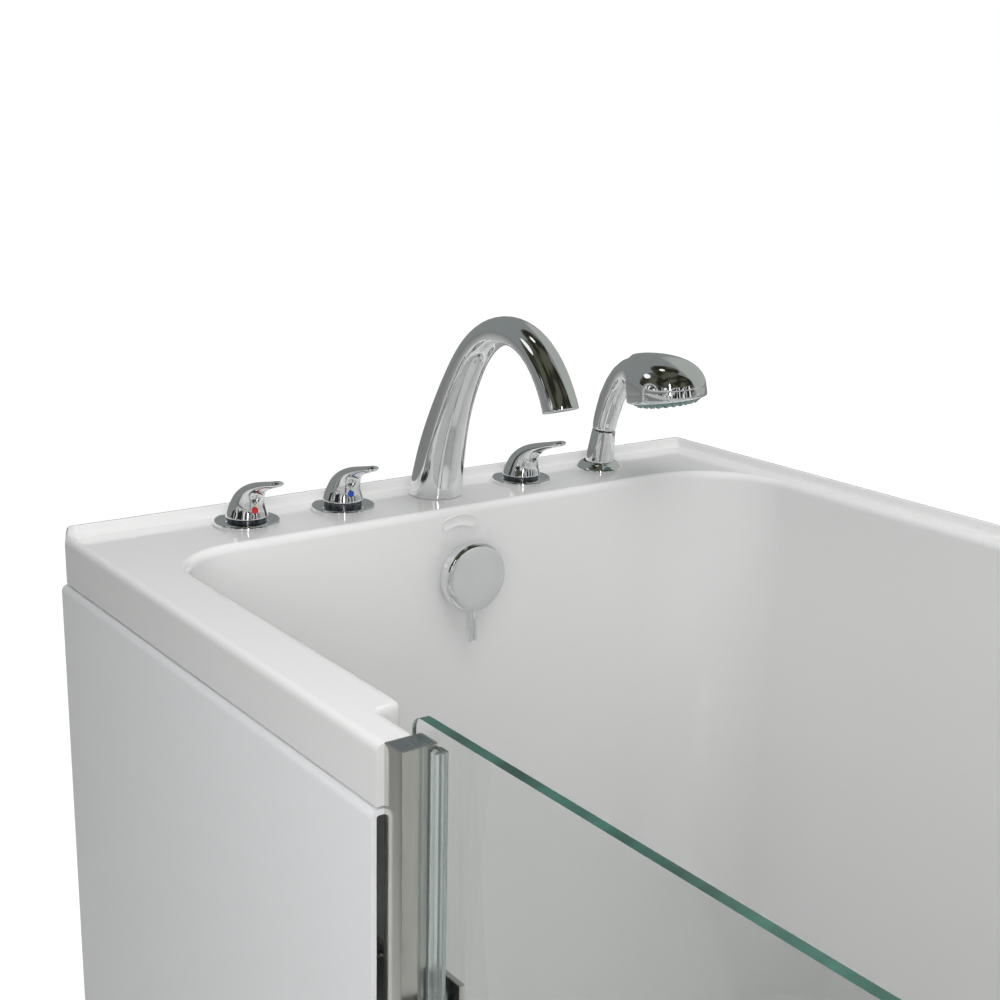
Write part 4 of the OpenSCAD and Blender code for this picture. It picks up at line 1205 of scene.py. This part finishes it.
@dataclass
class HandShower:
    """The hand shower, its leaning cone-shaped holder and the domed flange.

    Attributes:
        x: The row's place.
        y: Its place along the row.
        deck: Height of the deck.
        turn: How far it is turned about the upright, in degrees.
        lean: How far it leans from the upright.
        cone: Height of the cone.
        cone_foot: Radius of its foot.
        cone_top: Radius of its top.
        cone_bore: Radius of its bore.
        cone_rise: How far up the axis its foot stays straight.
        cone_sunk: How far down the axis it is turned before its foot is cut level.
        head_x: Centre of the head's seam, across from the leaning axis.
        head_z: Height of that centre along the axis.
        tilt: Tilt of the spray face.
        head: Radius of the head.
        dome: Height of the head's dome.
        skew: How far the dome leans back into the neck.
        band: Depth of the band under the seam.
        lip: Depth of the rounded lip under the band.
        plate: Radius of the spray plate.
        bulge: How far the spray plate swells out of the lip.
        nozzle_rings: Radius of each ring of nozzles, and how many stand in it.
        heights: Heights of the dome's rings, as shares of its whole.
        stations: Sections of the neck.
    """

    x: float = ROW_X
    y: float = 221.8
    deck: float = DECK
    turn: float = 13.0
    lean: float = 6.5
    cone: float = 45.7
    cone_foot: float = 16.2
    cone_top: float = 12.9
    cone_bore: float = 8.5
    cone_rise: float = 11.0
    cone_sunk: float = 4.0
    head_x: float = 74.0
    head_z: float = 111.0
    tilt: float = -16.5
    head: float = 43.5
    dome: float = 41.5
    skew: float = 0.85
    band: float = 9.4
    lip: float = 2.2
    plate: float = 37.0
    bulge: float = 6.7
    nozzle_rings: tuple[tuple[float, int], ...] = ((8, 6), (16, 12), (24, 18), (31, 24))
    heights: tuple[float, ...] = (
        0.008, 0.06, 0.12, 0.19, 0.26, 0.33, 0.41, 0.49, 0.57, 0.65, 0.72, 0.79, 0.85, 0.9, 0.94,
        0.97, 0.99,
    )
    stations: tuple[Station, ...] = field(default_factory=lambda: (
        Station(0, 46, 90, 12.8, 12.8),
        Station(0, 46.5, 90, 13.2, 13.2),
        Station(0.1, 49, 89, 13.3, 13.3),
        Station(0.4, 58, 87, 13.5, 13.5),
        Station(2.2, 69, 82, 13.9, 13.9),
        Station(5, 84, 75, 14.3, 14.1),
        Station(10.6, 100, 64, 15.1, 14.3),
        Station(17.2, 112, 54, 17.1, 14.1),
        Station(25.6, 121, 39, 21.1, 13.7),
        Station(35, 126.5, 22, 26.1, 12.7),
        Station(48, 129, 2, 29, 11),
        Station(60, 126, -16, 28, 8),
    ))

    def upright(self) -> Matrix:
        """Placement of the holder's axis where it meets the deck, not leaning."""
        return at(self.x, self.y, self.deck)

    def place(self) -> Matrix:
        """Placement of the leaning, turned holder."""
        turn = Matrix.Rotation(math.radians(self.turn), 4, "Z")
        return self.upright() @ turn @ Matrix.Rotation(math.radians(self.lean), 4, "Y")

    def head_place(self) -> Matrix:
        """Placement of the head, its dome upwards."""
        turn = Matrix.Rotation(math.radians(self.tilt), 4, "Y")
        return self.place() @ at(self.head_x, 0, self.head_z) @ turn

    def flange(self) -> None:
        """Turn the domed flange on the deck."""
        flange = turned(rounded([
            (17.5, 0, 0), (26, 0, 0.3), (26, 3.2, 1.6), (21.5, 8.6, 3.2), (17.5, 9.8, 0), (17.5, 0, 0),
        ]))
        plated("shower_rose_flange", Body.TUB, "shower_flange").piece(moved(flange, self.upright()))

    def holder(self) -> None:
        """Turn the leaning cone, and cut its foot level with the deck."""
        low = -self.cone_sunk
        cone = moved(turned(rounded([
            (self.cone_bore, low, 0), (self.cone_foot, low, 0),
            (self.cone_foot, self.cone_rise, 1.5), (self.cone_top, self.cone, 0.5),
            (self.cone_bore, self.cone, 0.4), (self.cone_bore, low, 0),
        ])), self.place())
        cut = bmesh.ops.bisect_plane(
            cone, geom=[*cone.verts, *cone.edges, *cone.faces], plane_co=(0, 0, self.deck * MM),
            plane_no=(0, 0, -1), clear_outer=True,
        )
        rims = [e for e in cut["geom_cut"] if isinstance(e, bmesh.types.BMEdge)]
        bmesh.ops.bridge_loops(cone, edges=rims)
        plated("shower_rest", Body.TUB, "shower_holder").piece(cone)

    def ring(self, u: float) -> Station:
        """A ring of the dome, whose height runs from 0 at the seam to 1."""
        radius = self.head * math.sqrt(1 - u**2.4)
        return Station(-self.skew * (self.head - radius), self.dome * u, 90, radius, radius)

    def casting(self) -> bmesh.types.BMesh:
        """Blend the neck and the dome into one form.

        Returns:
            The form, in place.
        """
        inner = self.head - 0.3
        skirt = [Station(0, z, 90, inner, inner) for z in (-6, -3, -0.5)]
        dome = swept([*skirt, *(self.ring(u) for u in self.heights)], around=64)
        neck = swept(self.stations, around=28)
        return blended(pooled([moved(neck, self.place()), moved(dome, self.head_place())]))

    def collar(self) -> bmesh.types.BMesh:
        """Turn the band under the seam, with its lip and the seat of the spray plate.

        Returns:
            The band, in place.
        """
        rim = -self.band
        foot = rim - self.lip
        seat = self.plate + 0.1
        profile = rounded([
            (0, foot + 4, 0), (seat, foot + 4, 0), (seat, foot, 0.3), (self.plate + 0.9, foot, 0.4),
            (self.head - 2.6, rim - 1.3, 1.4), (self.head - 0.5, rim - 0.2, 0.8),
            (self.head, rim + 1.1, 0.9), (self.head, -0.35, 0.25), (self.head - 1, -0.1, 0),
            (0, -0.1, 0),
        ])
        return moved(turned(profile), self.head_place())

    def nozzles(self) -> list[bmesh.types.BMesh]:
        """Stand the rings of nozzles on the swell of the spray plate.

        Returns:
            The nozzles.
        """
        made = []
        for radius, count in self.nozzle_rings:
            height = 0.8 - self.bulge * math.sqrt(1 - (radius / self.plate) ** 2)
            for k in range(count):
                a = math.tau * k / count
                nozzle = turned([(0, 1.5), (1.7, 1.5), (1.5, -1.0), (0.9, -1.5), (0, -1.5)], steps=12)
                made.append(moved(nozzle, at(radius * math.cos(a), radius * math.sin(a), height)))
        return made

    def spray(self, steps: int = 12) -> bmesh.types.BMesh:
        """Turn the swollen spray plate.

        Args:
            steps: Steps of the swell, from the rim to the middle.

        Returns:
            The plate, its rim near height 0.
        """
        rim, step = self.plate - 0.1, 90 / steps
        swell = [
            (rim * math.cos(a), 0.2 - self.bulge * math.sin(a))
            for a in (math.radians(step * k) for k in range(steps))
        ]
        return turned([(0, 3.8), (rim, 3.8), *swell, (0, 0.2 - self.bulge)], steps=128)

    def handset(self) -> None:
        """Make the casting with its band, and the spray plate with its nozzles."""
        head = pooled([self.casting(), self.collar()])
        plated("hand_shower_casting", Body.SHOWER, "hand_shower", angle=40).piece(head)
        seat = self.head_place() @ at(0, 0, -self.band - self.lip)
        Make(
            "spray_plate", Body.SHOWER, Finish.SPRAY, "spray_plastic", ("shower_face",)
        ).piece(moved(pooled([self.spray(), *self.nozzles()]), seat))

    def build(self) -> None:
        """Build the hand shower."""
        self.flange()
        self.holder()
        self.handset()


# ------------------------------------------------------------------------------------------------
# Waste and overflow


@dataclass
class Waste:
    """The overflow knob and ring, and the drain with its stopper.

    Attributes:
        x: Face of the tap-end wall.
        y: Middle of the tap row.
        z: Height of the overflow's centre.
        knob: Radius of the knob.
        back: Where the knob's back is, from the wall.
        deep: Thickness of the knob.
        shaft: Radius of the shaft behind the knob.
        shaft_long: How far the shaft goes into the wall.
        stem: Radius of the stem that hangs from the knob.
        stem_long: Its length.
        stem_out: How far its axis stands out of the wall.
        stem_drop: How far below the centre it begins.
        stem_slant: Slope of its cut end.
        drain_x: The drain's place.
        floor: Height of the foot well's floor at the drain.
    """

    x: float = WALL_X
    y: float = ROW_Y
    z: float = 893.0
    knob: float = 36.5
    back: float = 5.0
    deep: float = 13.0
    shaft: float = 5.0
    shaft_long: float = 12.0
    stem: float = 4.5
    stem_long: float = 44.0
    stem_out: float = 11.0
    stem_drop: float = 26.0
    stem_slant: float = 0.55
    drain_x: float = -530.0
    floor: float = 104.0

    def hanging_stem(self) -> bmesh.types.BMesh:
        """Make the stem that hangs from the knob, its end cut at a slant.

        Returns:
            The stem, in place.
        """
        stem = rod(self.stem, 0, self.stem_long, 40)
        tip = [v for v in stem.verts if v.co.z > self.stem_long / 2 * MM]
        for v in tip:
            v.co.z += v.co.x * self.stem_slant
        soften(stem, [e for e in stem.edges if all(v in tip for v in e.verts)], 0.5)
        down = along_x(self.x, self.y, self.z) @ Matrix.Rotation(math.radians(90), 4, "Y")
        return moved(stem, down @ at(-self.stem_out, 0, self.stem_drop))

    def overflow(self) -> None:
        """Turn the knob with its shaft, hang its stem, and dress the ring behind it."""
        front = self.back + self.deep
        knob = turned(rounded([
            (0, -self.shaft_long, 0), (self.shaft, -self.shaft_long, 0.4), (self.shaft, self.back, 0),
            (self.knob, self.back, 1.2), (self.knob, front - 1.2, 3.6), (self.knob - 6, front, 3.0),
            (0, front + 0.3, 0),
        ], steps=7))
        knob = moved(knob, along_x(self.x, self.y, self.z))
        dial = plated("overflow_dial", Body.OVERFLOW, "overflow_knob")
        dial.piece(pooled([knob, self.hanging_stem()]))
        grating = plated("overflow_grating", Body.TUB, "overflow_ring", bevel=0.5)
        grating.piece(merged_copy("overflow_ring"))

    def drain(self) -> None:
        """Turn the drain's flange and its stopper."""
        flange = turned(rounded([
            (20, -30, 0), (25.8, -30, 0.5), (25.8, 0, 0), (36, 0, 0), (34.6, 2.0, 1.0), (27, 2.5, 0.5),
            (20, 0.6, 1.0), (20, -30, 0),
        ]))
        rim = plated("drain_rim", Body.TUB, "drain_flange")
        rim.piece(moved(flange, at(self.drain_x, self.y, self.floor)))
        cap = plated("stopper_cap", Body.STOPPER, "drain_stopper", bevel=0.4)
        cap.piece(merged_copy("drain_stopper"))

    def build(self) -> None:
        """Build the waste and overflow."""
        self.overflow()
        self.drain()


# ------------------------------------------------------------------------------------------------
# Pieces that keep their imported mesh


@dataclass
class Underworks:
    """The hidden frame, plumbing and feet, kept as packed and given their finishes.

    Attributes:
        finishes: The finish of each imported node.
    """

    finishes: dict[str, Finish] = field(default_factory=lambda: {
        "base_board": Finish.PLY,
        "base_rails": Finish.FRAME,
        "base_crossbars": Finish.FRAME,
        "frame_uprights": Finish.FRAME,
        "seat_beam": Finish.FRAME,
        "apron_clips": Finish.FRAME,
        "foot_studs": Finish.FASTENER,
        "foot_locknuts": Finish.FASTENER,
        "foot_pads": Finish.PAD,
        "keeper_backing": Finish.STEEL,
        "hot_valve": Finish.BRASS,
        "cold_valve": Finish.BRASS,
        "diverter_valve": Finish.BRASS,
        "valve_nuts": Finish.BRASS,
        "handle_rings": Finish.DARK,
        "mixer_tubes": Finish.COPPER,
        "spout_tube": Finish.COPPER,
        "spout_shank": Finish.BRASS,
        "spout_nut": Finish.BRASS,
        "shower_guide": Finish.BRASS,
        "shower_nut": Finish.BRASS,
        "shower_inlet": Finish.FASTENER,
        "overflow_gasket": Finish.RUBBER,
        "overflow_elbow": Finish.PIPE,
        "overflow_pipe": Finish.PIPE,
        "drain_shoe": Finish.PIPE,
        "waste_tee": Finish.PIPE,
    })

    def build(self) -> None:
        """Give each node its finish."""
        for node, finish in self.finishes.items():
            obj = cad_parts[node]
            obj.data.materials.clear()
            obj.data.materials.append(finish.material())
            log.info("%s: kept, %s", node, finish.name.lower())


# ------------------------------------------------------------------------------------------------
# The studio


class RoomBench(Bench):
    """Paints a world by the direction of the ray that meets it."""

    def __init__(self, tree: bpy.types.NodeTree) -> None:
        """Start with an empty world.

        Args:
            tree: The world's node tree.
        """
        super().__init__(tree)
        self.tree.nodes.clear()
        self.ray = self.add("ShaderNodeTexCoord").outputs["Generated"]

    def plain(self, color: Sequence[float]) -> bpy.types.NodeSocket:
        """A room of one colour.

        Args:
            color: Red, green and blue.

        Returns:
            The room.
        """
        node = self.add("ShaderNodeRGB")
        node.outputs[0].default_value = (*color, 1)
        return node.outputs[0]

    def eased(self, source: bpy.types.NodeSocket, low: float, high: float) -> bpy.types.NodeSocket:
        """Ease a value into a share.

        Args:
            source: The value.
            low: Where the share is 0.
            high: Where the share is 1.

        Returns:
            The share.
        """
        ease = self.add(
            "ShaderNodeMapRange", interpolation_type="SMOOTHSTEP", From_Min=low, From_Max=high
        )
        self.join(source, ease.inputs["Value"])
        return ease.outputs["Result"]

    def along(self, direction: Sequence[float], low: float, high: float) -> bpy.types.NodeSocket:
        """How far the ray lies along a direction, as a share.

        Args:
            direction: The direction.
            low: Their product where the share is 0.
            high: Their product where the share is 1.

        Returns:
            The share.
        """
        dot = self.add("ShaderNodeVectorMath", operation="DOT_PRODUCT")
        dot.inputs[1].default_value = direction
        self.join(self.ray, dot.inputs[0])
        return self.eased(dot.outputs["Value"], low, high)

    def height(self) -> bpy.types.NodeSocket:
        """How far the ray rises, from -1 straight down to 1 straight up.

        Returns:
            The height.
        """
        parts = self.add("ShaderNodeSeparateXYZ")
        self.join(self.ray, parts.inputs["Vector"])
        return parts.outputs["Z"]

    def noise(
        self, scale: float, detail: float, stretch: Sequence[float] = (1, 1, 1)
    ) -> bpy.types.NodeSocket:
        """Noise over the room.

        Args:
            scale: Features across the room.
            detail: Octaves.
            stretch: Scale along X, Y and Z.

        Returns:
            The factor.
        """
        mapping = self.add("ShaderNodeMapping")
        mapping.inputs["Scale"].default_value = stretch
        self.join(self.ray, mapping.inputs["Vector"])
        node = self.add("ShaderNodeTexNoise", Scale=scale, Detail=detail)
        self.join(mapping.outputs["Vector"], node.inputs["Vector"])
        return node.outputs["Fac"]

    def flat_greys(
        self, source: bpy.types.NodeSocket, greys: Sequence[tuple[float, float]]
    ) -> bpy.types.NodeSocket:
        """Cut a factor into flat greys.

        Args:
            source: The factor.
            greys: Where each grey begins, and how bright it is.

        Returns:
            The colour.
        """
        node = self.add("ShaderNodeValToRGB")
        ramp = node.color_ramp
        ramp.interpolation = "CONSTANT"
        ready = len(ramp.elements)
        for i, (begins, bright) in enumerate(greys):
            element = ramp.elements[i] if i < ready else ramp.elements.new(begins)
            element.position, element.color = begins, (bright, bright, bright, 1)
        self.join(source, node.inputs["Fac"])
        return node.outputs["Color"]

    def both(
        self, first: bpy.types.NodeSocket, second: bpy.types.NodeSocket
    ) -> bpy.types.NodeSocket:
        """The part that two shares have in common.

        Args:
            first: A share.
            second: Another.

        Returns:
            Their product.
        """
        product = self.add("ShaderNodeMath", operation="MULTIPLY")
        self.join(first, product.inputs[0])
        self.join(second, product.inputs[1])
        return product.outputs["Value"]

    def over(
        self, room: bpy.types.NodeSocket, share: bpy.types.NodeSocket,
        color: Union[Sequence[float], bpy.types.NodeSocket],
    ) -> bpy.types.NodeSocket:
        """Lay a colour over part of a room.

        Args:
            room: The room.
            share: How much of the colour shows.
            color: The colour, or the room that lies over the first.

        Returns:
            The room with the colour over it.
        """
        mix = self.add("ShaderNodeMix", data_type="RGBA")
        self.join(share, mix.inputs[0])
        self.join(room, mix.inputs[6])
        if isinstance(color, bpy.types.NodeSocket):
            self.join(color, mix.inputs[7])
        else:
            mix.inputs[7].default_value = (*color, 1)
        return mix.outputs[2]


@dataclass(frozen=True)
class Softbox:
    """A rectangular white lamp.

    Attributes:
        name: Its name.
        place: Its place in metres.
        target: The point that it faces.
        size: Width and height in metres.
        watts: Its power.
        mirrored: Whether it shows in what is glossy.
    """

    name: str
    place: tuple[float, float, float]
    target: tuple[float, float, float]
    size: tuple[float, float]
    watts: float
    mirrored: bool = False

    def hang(self) -> None:
        """Hang the lamp."""
        data = bpy.data.lights.new(self.name, "AREA")
        data.shape, data.energy = "RECTANGLE", self.watts
        data.size, data.size_y = self.size
        obj = bpy.data.objects.new(self.name, data)
        obj.location = self.place
        obj.rotation_mode = "QUATERNION"
        facing = Vector(self.target) - Vector(self.place)
        obj.rotation_quaternion = facing.to_track_quat("-Z", "Y")
        obj.visible_glossy = self.mirrored
        obj.visible_camera = False
        bpy.context.scene.collection.objects.link(obj)


@dataclass
class Studio:
    """Camera, lamps, world and floor.

    Attributes:
        eye: The camera's place in metres.
        yaw: Its heading, anticlockwise from +Y, in degrees.
        pitch: How far it looks down.
        roll: Its roll.
        lens: Focal length on a 36 mm sensor.
        softboxes: The lamps.
        wall: Colour of the room's walls, as the plating shows them.
        pale_wall: Colour of the brighter wall behind the camera's right.
        darkest: Darkest colour of the room's dim parts.
        dim: Brightest colour of those parts.
        below: Colour of what lies below the horizon.
        sky: Even light on the surfaces.
        back_sky: Light from behind the tub.
        front_sky: Light from the front left.
        shown: Strength of the room in what is glossy.
        glow: Strength of the floor's own light for the camera.
        glow_share: Share of that light in what the camera sees.
    """

    eye: tuple[float, float, float] = (0.5431, -0.8372, 1.3583)
    yaw: float = 53.74
    pitch: float = 14.78
    roll: float = 1.25
    lens: float = 53.82
    softboxes: tuple[Softbox, ...] = (
        Softbox("overhead", (-0.35, 0.55, 3.3), (0.0, 0.05, 0.9), (2.6, 2.0), 20),
        Softbox("basin", (0.3, -0.15, 2.9), (0.0, 0.0, 0.5), (1.6, 1.0), 16),
        Softbox("right_fill", (1.7, -1.25, 1.7), (-0.3, 0.2, 0.8), (1.2, 1.2), 17),
        Softbox("front_fill", (0.15, -1.15, 1.3), (-0.25, -0.38, 0.8), (0.7, 0.7), 4),
        Softbox("strip", (1.9, -1.3, 1.95), (-0.6, 0.3, 0.85), (0.09, 1.3), 4, mirrored=True),
    )
    wall: tuple[float, float, float] = (0.265, 0.285, 0.28)
    pale_wall: tuple[float, float, float] = (0.46, 0.48, 0.45)
    darkest: tuple[float, float, float] = (0.022, 0.024, 0.016)
    dim: tuple[float, float, float] = (0.105, 0.108, 0.080)
    below: tuple[float, float, float] = (0.55, 0.56, 0.55)
    sky: tuple[float, float, float] = (0.17, 0.17, 0.169)
    back_sky: tuple[float, float, float] = (0.48, 0.48, 0.477)
    front_sky: tuple[float, float, float] = (0.05, 0.05, 0.05)
    shown: float = 0.86
    glow: float = 1.48
    glow_share: float = 0.66

    def camera(self) -> None:
        """Place the camera where the photograph was taken."""
        data = bpy.data.cameras.new("camera")
        data.sensor_width, data.lens = 36.0, self.lens
        data.clip_start, data.clip_end = 0.02, 60.0
        obj = bpy.data.objects.new("camera", data)
        yaw, pitch, roll = (math.radians(a) for a in (self.yaw, self.pitch, self.roll))
        ahead = Vector((
            -math.sin(yaw) * math.cos(pitch), math.cos(yaw) * math.cos(pitch), -math.sin(pitch)
        ))
        right = ahead.cross(Vector((0, 0, 1))).normalized()
        up = right.cross(ahead)
        across = math.cos(roll) * right + math.sin(roll) * up
        upward = -math.sin(roll) * right + math.cos(roll) * up
        turn = Matrix((across, upward, -ahead)).transposed().to_4x4()
        obj.matrix_world = Matrix.Translation(self.eye) @ turn
        bpy.context.scene.collection.objects.link(obj)
        bpy.context.scene.camera = obj

    def toward(self, around: float, rise: float) -> tuple[float, float, float]:
        """Find a direction.

        Args:
            around: Its angle round from the camera's side, in degrees.
            rise: Its angle above the horizon.

        Returns:
            The direction.
        """
        yaw, around, rise = math.radians(self.yaw), math.radians(around), math.radians(rise)
        near, side = math.cos(rise) * math.cos(around), math.cos(rise) * math.sin(around)
        return (
            near * math.sin(yaw) + side * math.cos(yaw), side * math.sin(yaw) - near * math.cos(yaw),
            math.sin(rise),
        )

    def mirrored_room(self, bench: RoomBench) -> bpy.types.NodeSocket:
        """Paint the room that the plating and the glass show.

        Args:
            bench: The world's bench.

        Returns:
            The room.
        """
        height = bench.height()
        clouds = bench.eased(bench.noise(scale=2.6, detail=2), 0.40, 0.62)
        dim = bench.over(bench.plain(self.darkest), clouds, self.dim)
        flecks = bench.flat_greys(
            bench.noise(scale=11.0, detail=1.5, stretch=(1, 1, 0.3)),
            ((0.0, 0.02), (0.50, 0.4), (0.57, 1.1)),
        )
        right_wall = bench.along(self.toward(126, 20), 0.70, 0.78)
        ceiling = bench.along((0, 0, 1), 0.90, 0.93)
        front = bench.both(bench.along(self.toward(-3, 0), 0.08, 0.16), bench.eased(height, 0.10, 0.14))
        band = bench.both(bench.eased(height, 0.03, 0.05), bench.eased(height, 0.26, 0.22))
        low_front = bench.both(band, bench.along(self.toward(0, 0), 0.25, 0.4))
        ground = bench.both(bench.eased(height, 0.05, 0.03), bench.along(self.toward(20, 0), 0.1, 0.3))
        high_window = bench.along(self.toward(-131, 84), 0.9965, 0.9975)
        side_window = bench.along(self.toward(-74, 42), 0.986, 0.990)
        room = bench.plain(self.wall)
        for share, color in (
            (right_wall, self.pale_wall),
            (ceiling, dim),
            (front, dim),
            (low_front, flecks),
            (ground, self.below),
            (high_window, (1.3, 1.3, 1.25)),
            (side_window, (1.2, 1.2, 1.2)),
        ):
            room = bench.over(room, share, color)
        return room

    def even_light(self, bench: RoomBench) -> bpy.types.NodeSocket:
        """Paint the room that lights the surfaces.

        Args:
            bench: The world's bench.

        Returns:
            The room.
        """
        room = bench.over(
            bench.plain(self.sky), bench.along((-0.3, 0.9, 0.2), 0.1, 0.7), self.back_sky
        )
        return bench.over(room, bench.along(self.toward(-60, 5), 0.2, 0.7), self.front_sky)

    def world(self) -> None:
        """White to the camera, an even grey to the lit surfaces, a room to what is glossy."""
        world = bpy.data.worlds.new("studio")
        bpy.context.scene.world = world
        world.use_nodes = True
        bench = RoomBench(world.node_tree)
        ambient = bench.add("ShaderNodeBackground", Strength=1.0)
        bench.join(self.even_light(bench), ambient.inputs["Color"])
        shown = bench.add("ShaderNodeBackground", Strength=self.shown)
        bench.join(self.mirrored_room(bench), shown.inputs["Color"])
        white = bench.add("ShaderNodeBackground", Color=(1, 1, 1, 1), Strength=1.0)
        path = bench.add("ShaderNodeLightPath")
        shiny = bench.add("ShaderNodeMath", operation="MAXIMUM")
        bench.join(path.outputs["Is Glossy Ray"], shiny.inputs[0])
        bench.join(path.outputs["Is Transmission Ray"], shiny.inputs[1])
        seen = ambient.outputs["Background"]
        for share, background in (
            (shiny.outputs["Value"], shown),
            (path.outputs["Is Camera Ray"], white),
        ):
            mix = bench.add("ShaderNodeMixShader")
            bench.join(share, mix.inputs["Fac"])
            bench.join(seen, mix.inputs[1])
            bench.join(background.outputs["Background"], mix.inputs[2])
            seen = mix.outputs["Shader"]
        bench.join(seen, bench.add("ShaderNodeOutputWorld").inputs["Surface"])

    def floor(self) -> None:
        """Lay a pale floor that shows nearly white and keeps the shadow."""
        bm = bmesh.new()
        bmesh.ops.create_grid(bm, x_segments=1, y_segments=1, size=20)
        mesh = bpy.data.meshes.new("floor")
        bm.to_mesh(mesh)
        bm.free()
        bench = NodeBench("pale_floor").set(Base_Color=(0.88, 0.88, 0.88, 1), Roughness=0.6)
        glow = bench.add("ShaderNodeEmission", Strength=self.glow)
        path = bench.add("ShaderNodeLightPath")
        share = bench.add("ShaderNodeMath", operation="MULTIPLY")
        share.inputs[1].default_value = self.glow_share
        mixed = bench.add("ShaderNodeMixShader")
        bench.join(path.outputs["Is Camera Ray"], share.inputs[0])
        bench.join(share.outputs["Value"], mixed.inputs["Fac"])
        bench.join(bench.shader.outputs["BSDF"], mixed.inputs[1])
        bench.join(glow.outputs["Emission"], mixed.inputs[2])
        bench.join(mixed.outputs["Shader"], bench.output.inputs["Surface"])
        mesh.materials.append(bench.material)
        obj = bpy.data.objects.new("floor", mesh)
        bpy.context.scene.collection.objects.link(obj)

    def build(self) -> None:
        """Set the studio up."""
        bpy.context.scene.view_settings.view_transform = "Standard"
        self.camera()
        for softbox in self.softboxes:
            softbox.hang()
        self.world()
        self.floor()


def main() -> None:
    """Build every part of the scene in order."""
    for part in (
        Studio(),
        Tub(),
        Door(),
        LeverTap("hot", -215.8, Body.HOT, turn=5.5, mark=Finish.RED, mark_slot="hot_red"),
        LeverTap(
            "cold", -109.7, Body.COLD, turn=2.0, mark=Finish.BLUE, mark_slot="cold_blue", ring_rise=4.4
        ),
        LeverTap("diverter", 112.4, Body.DIVERTER, turn=14.0),
        Spout(),
        HandShower(),
        Waste(),
        Underworks(),
    ):
        part.build()


if __name__ == "__main__":
    main()
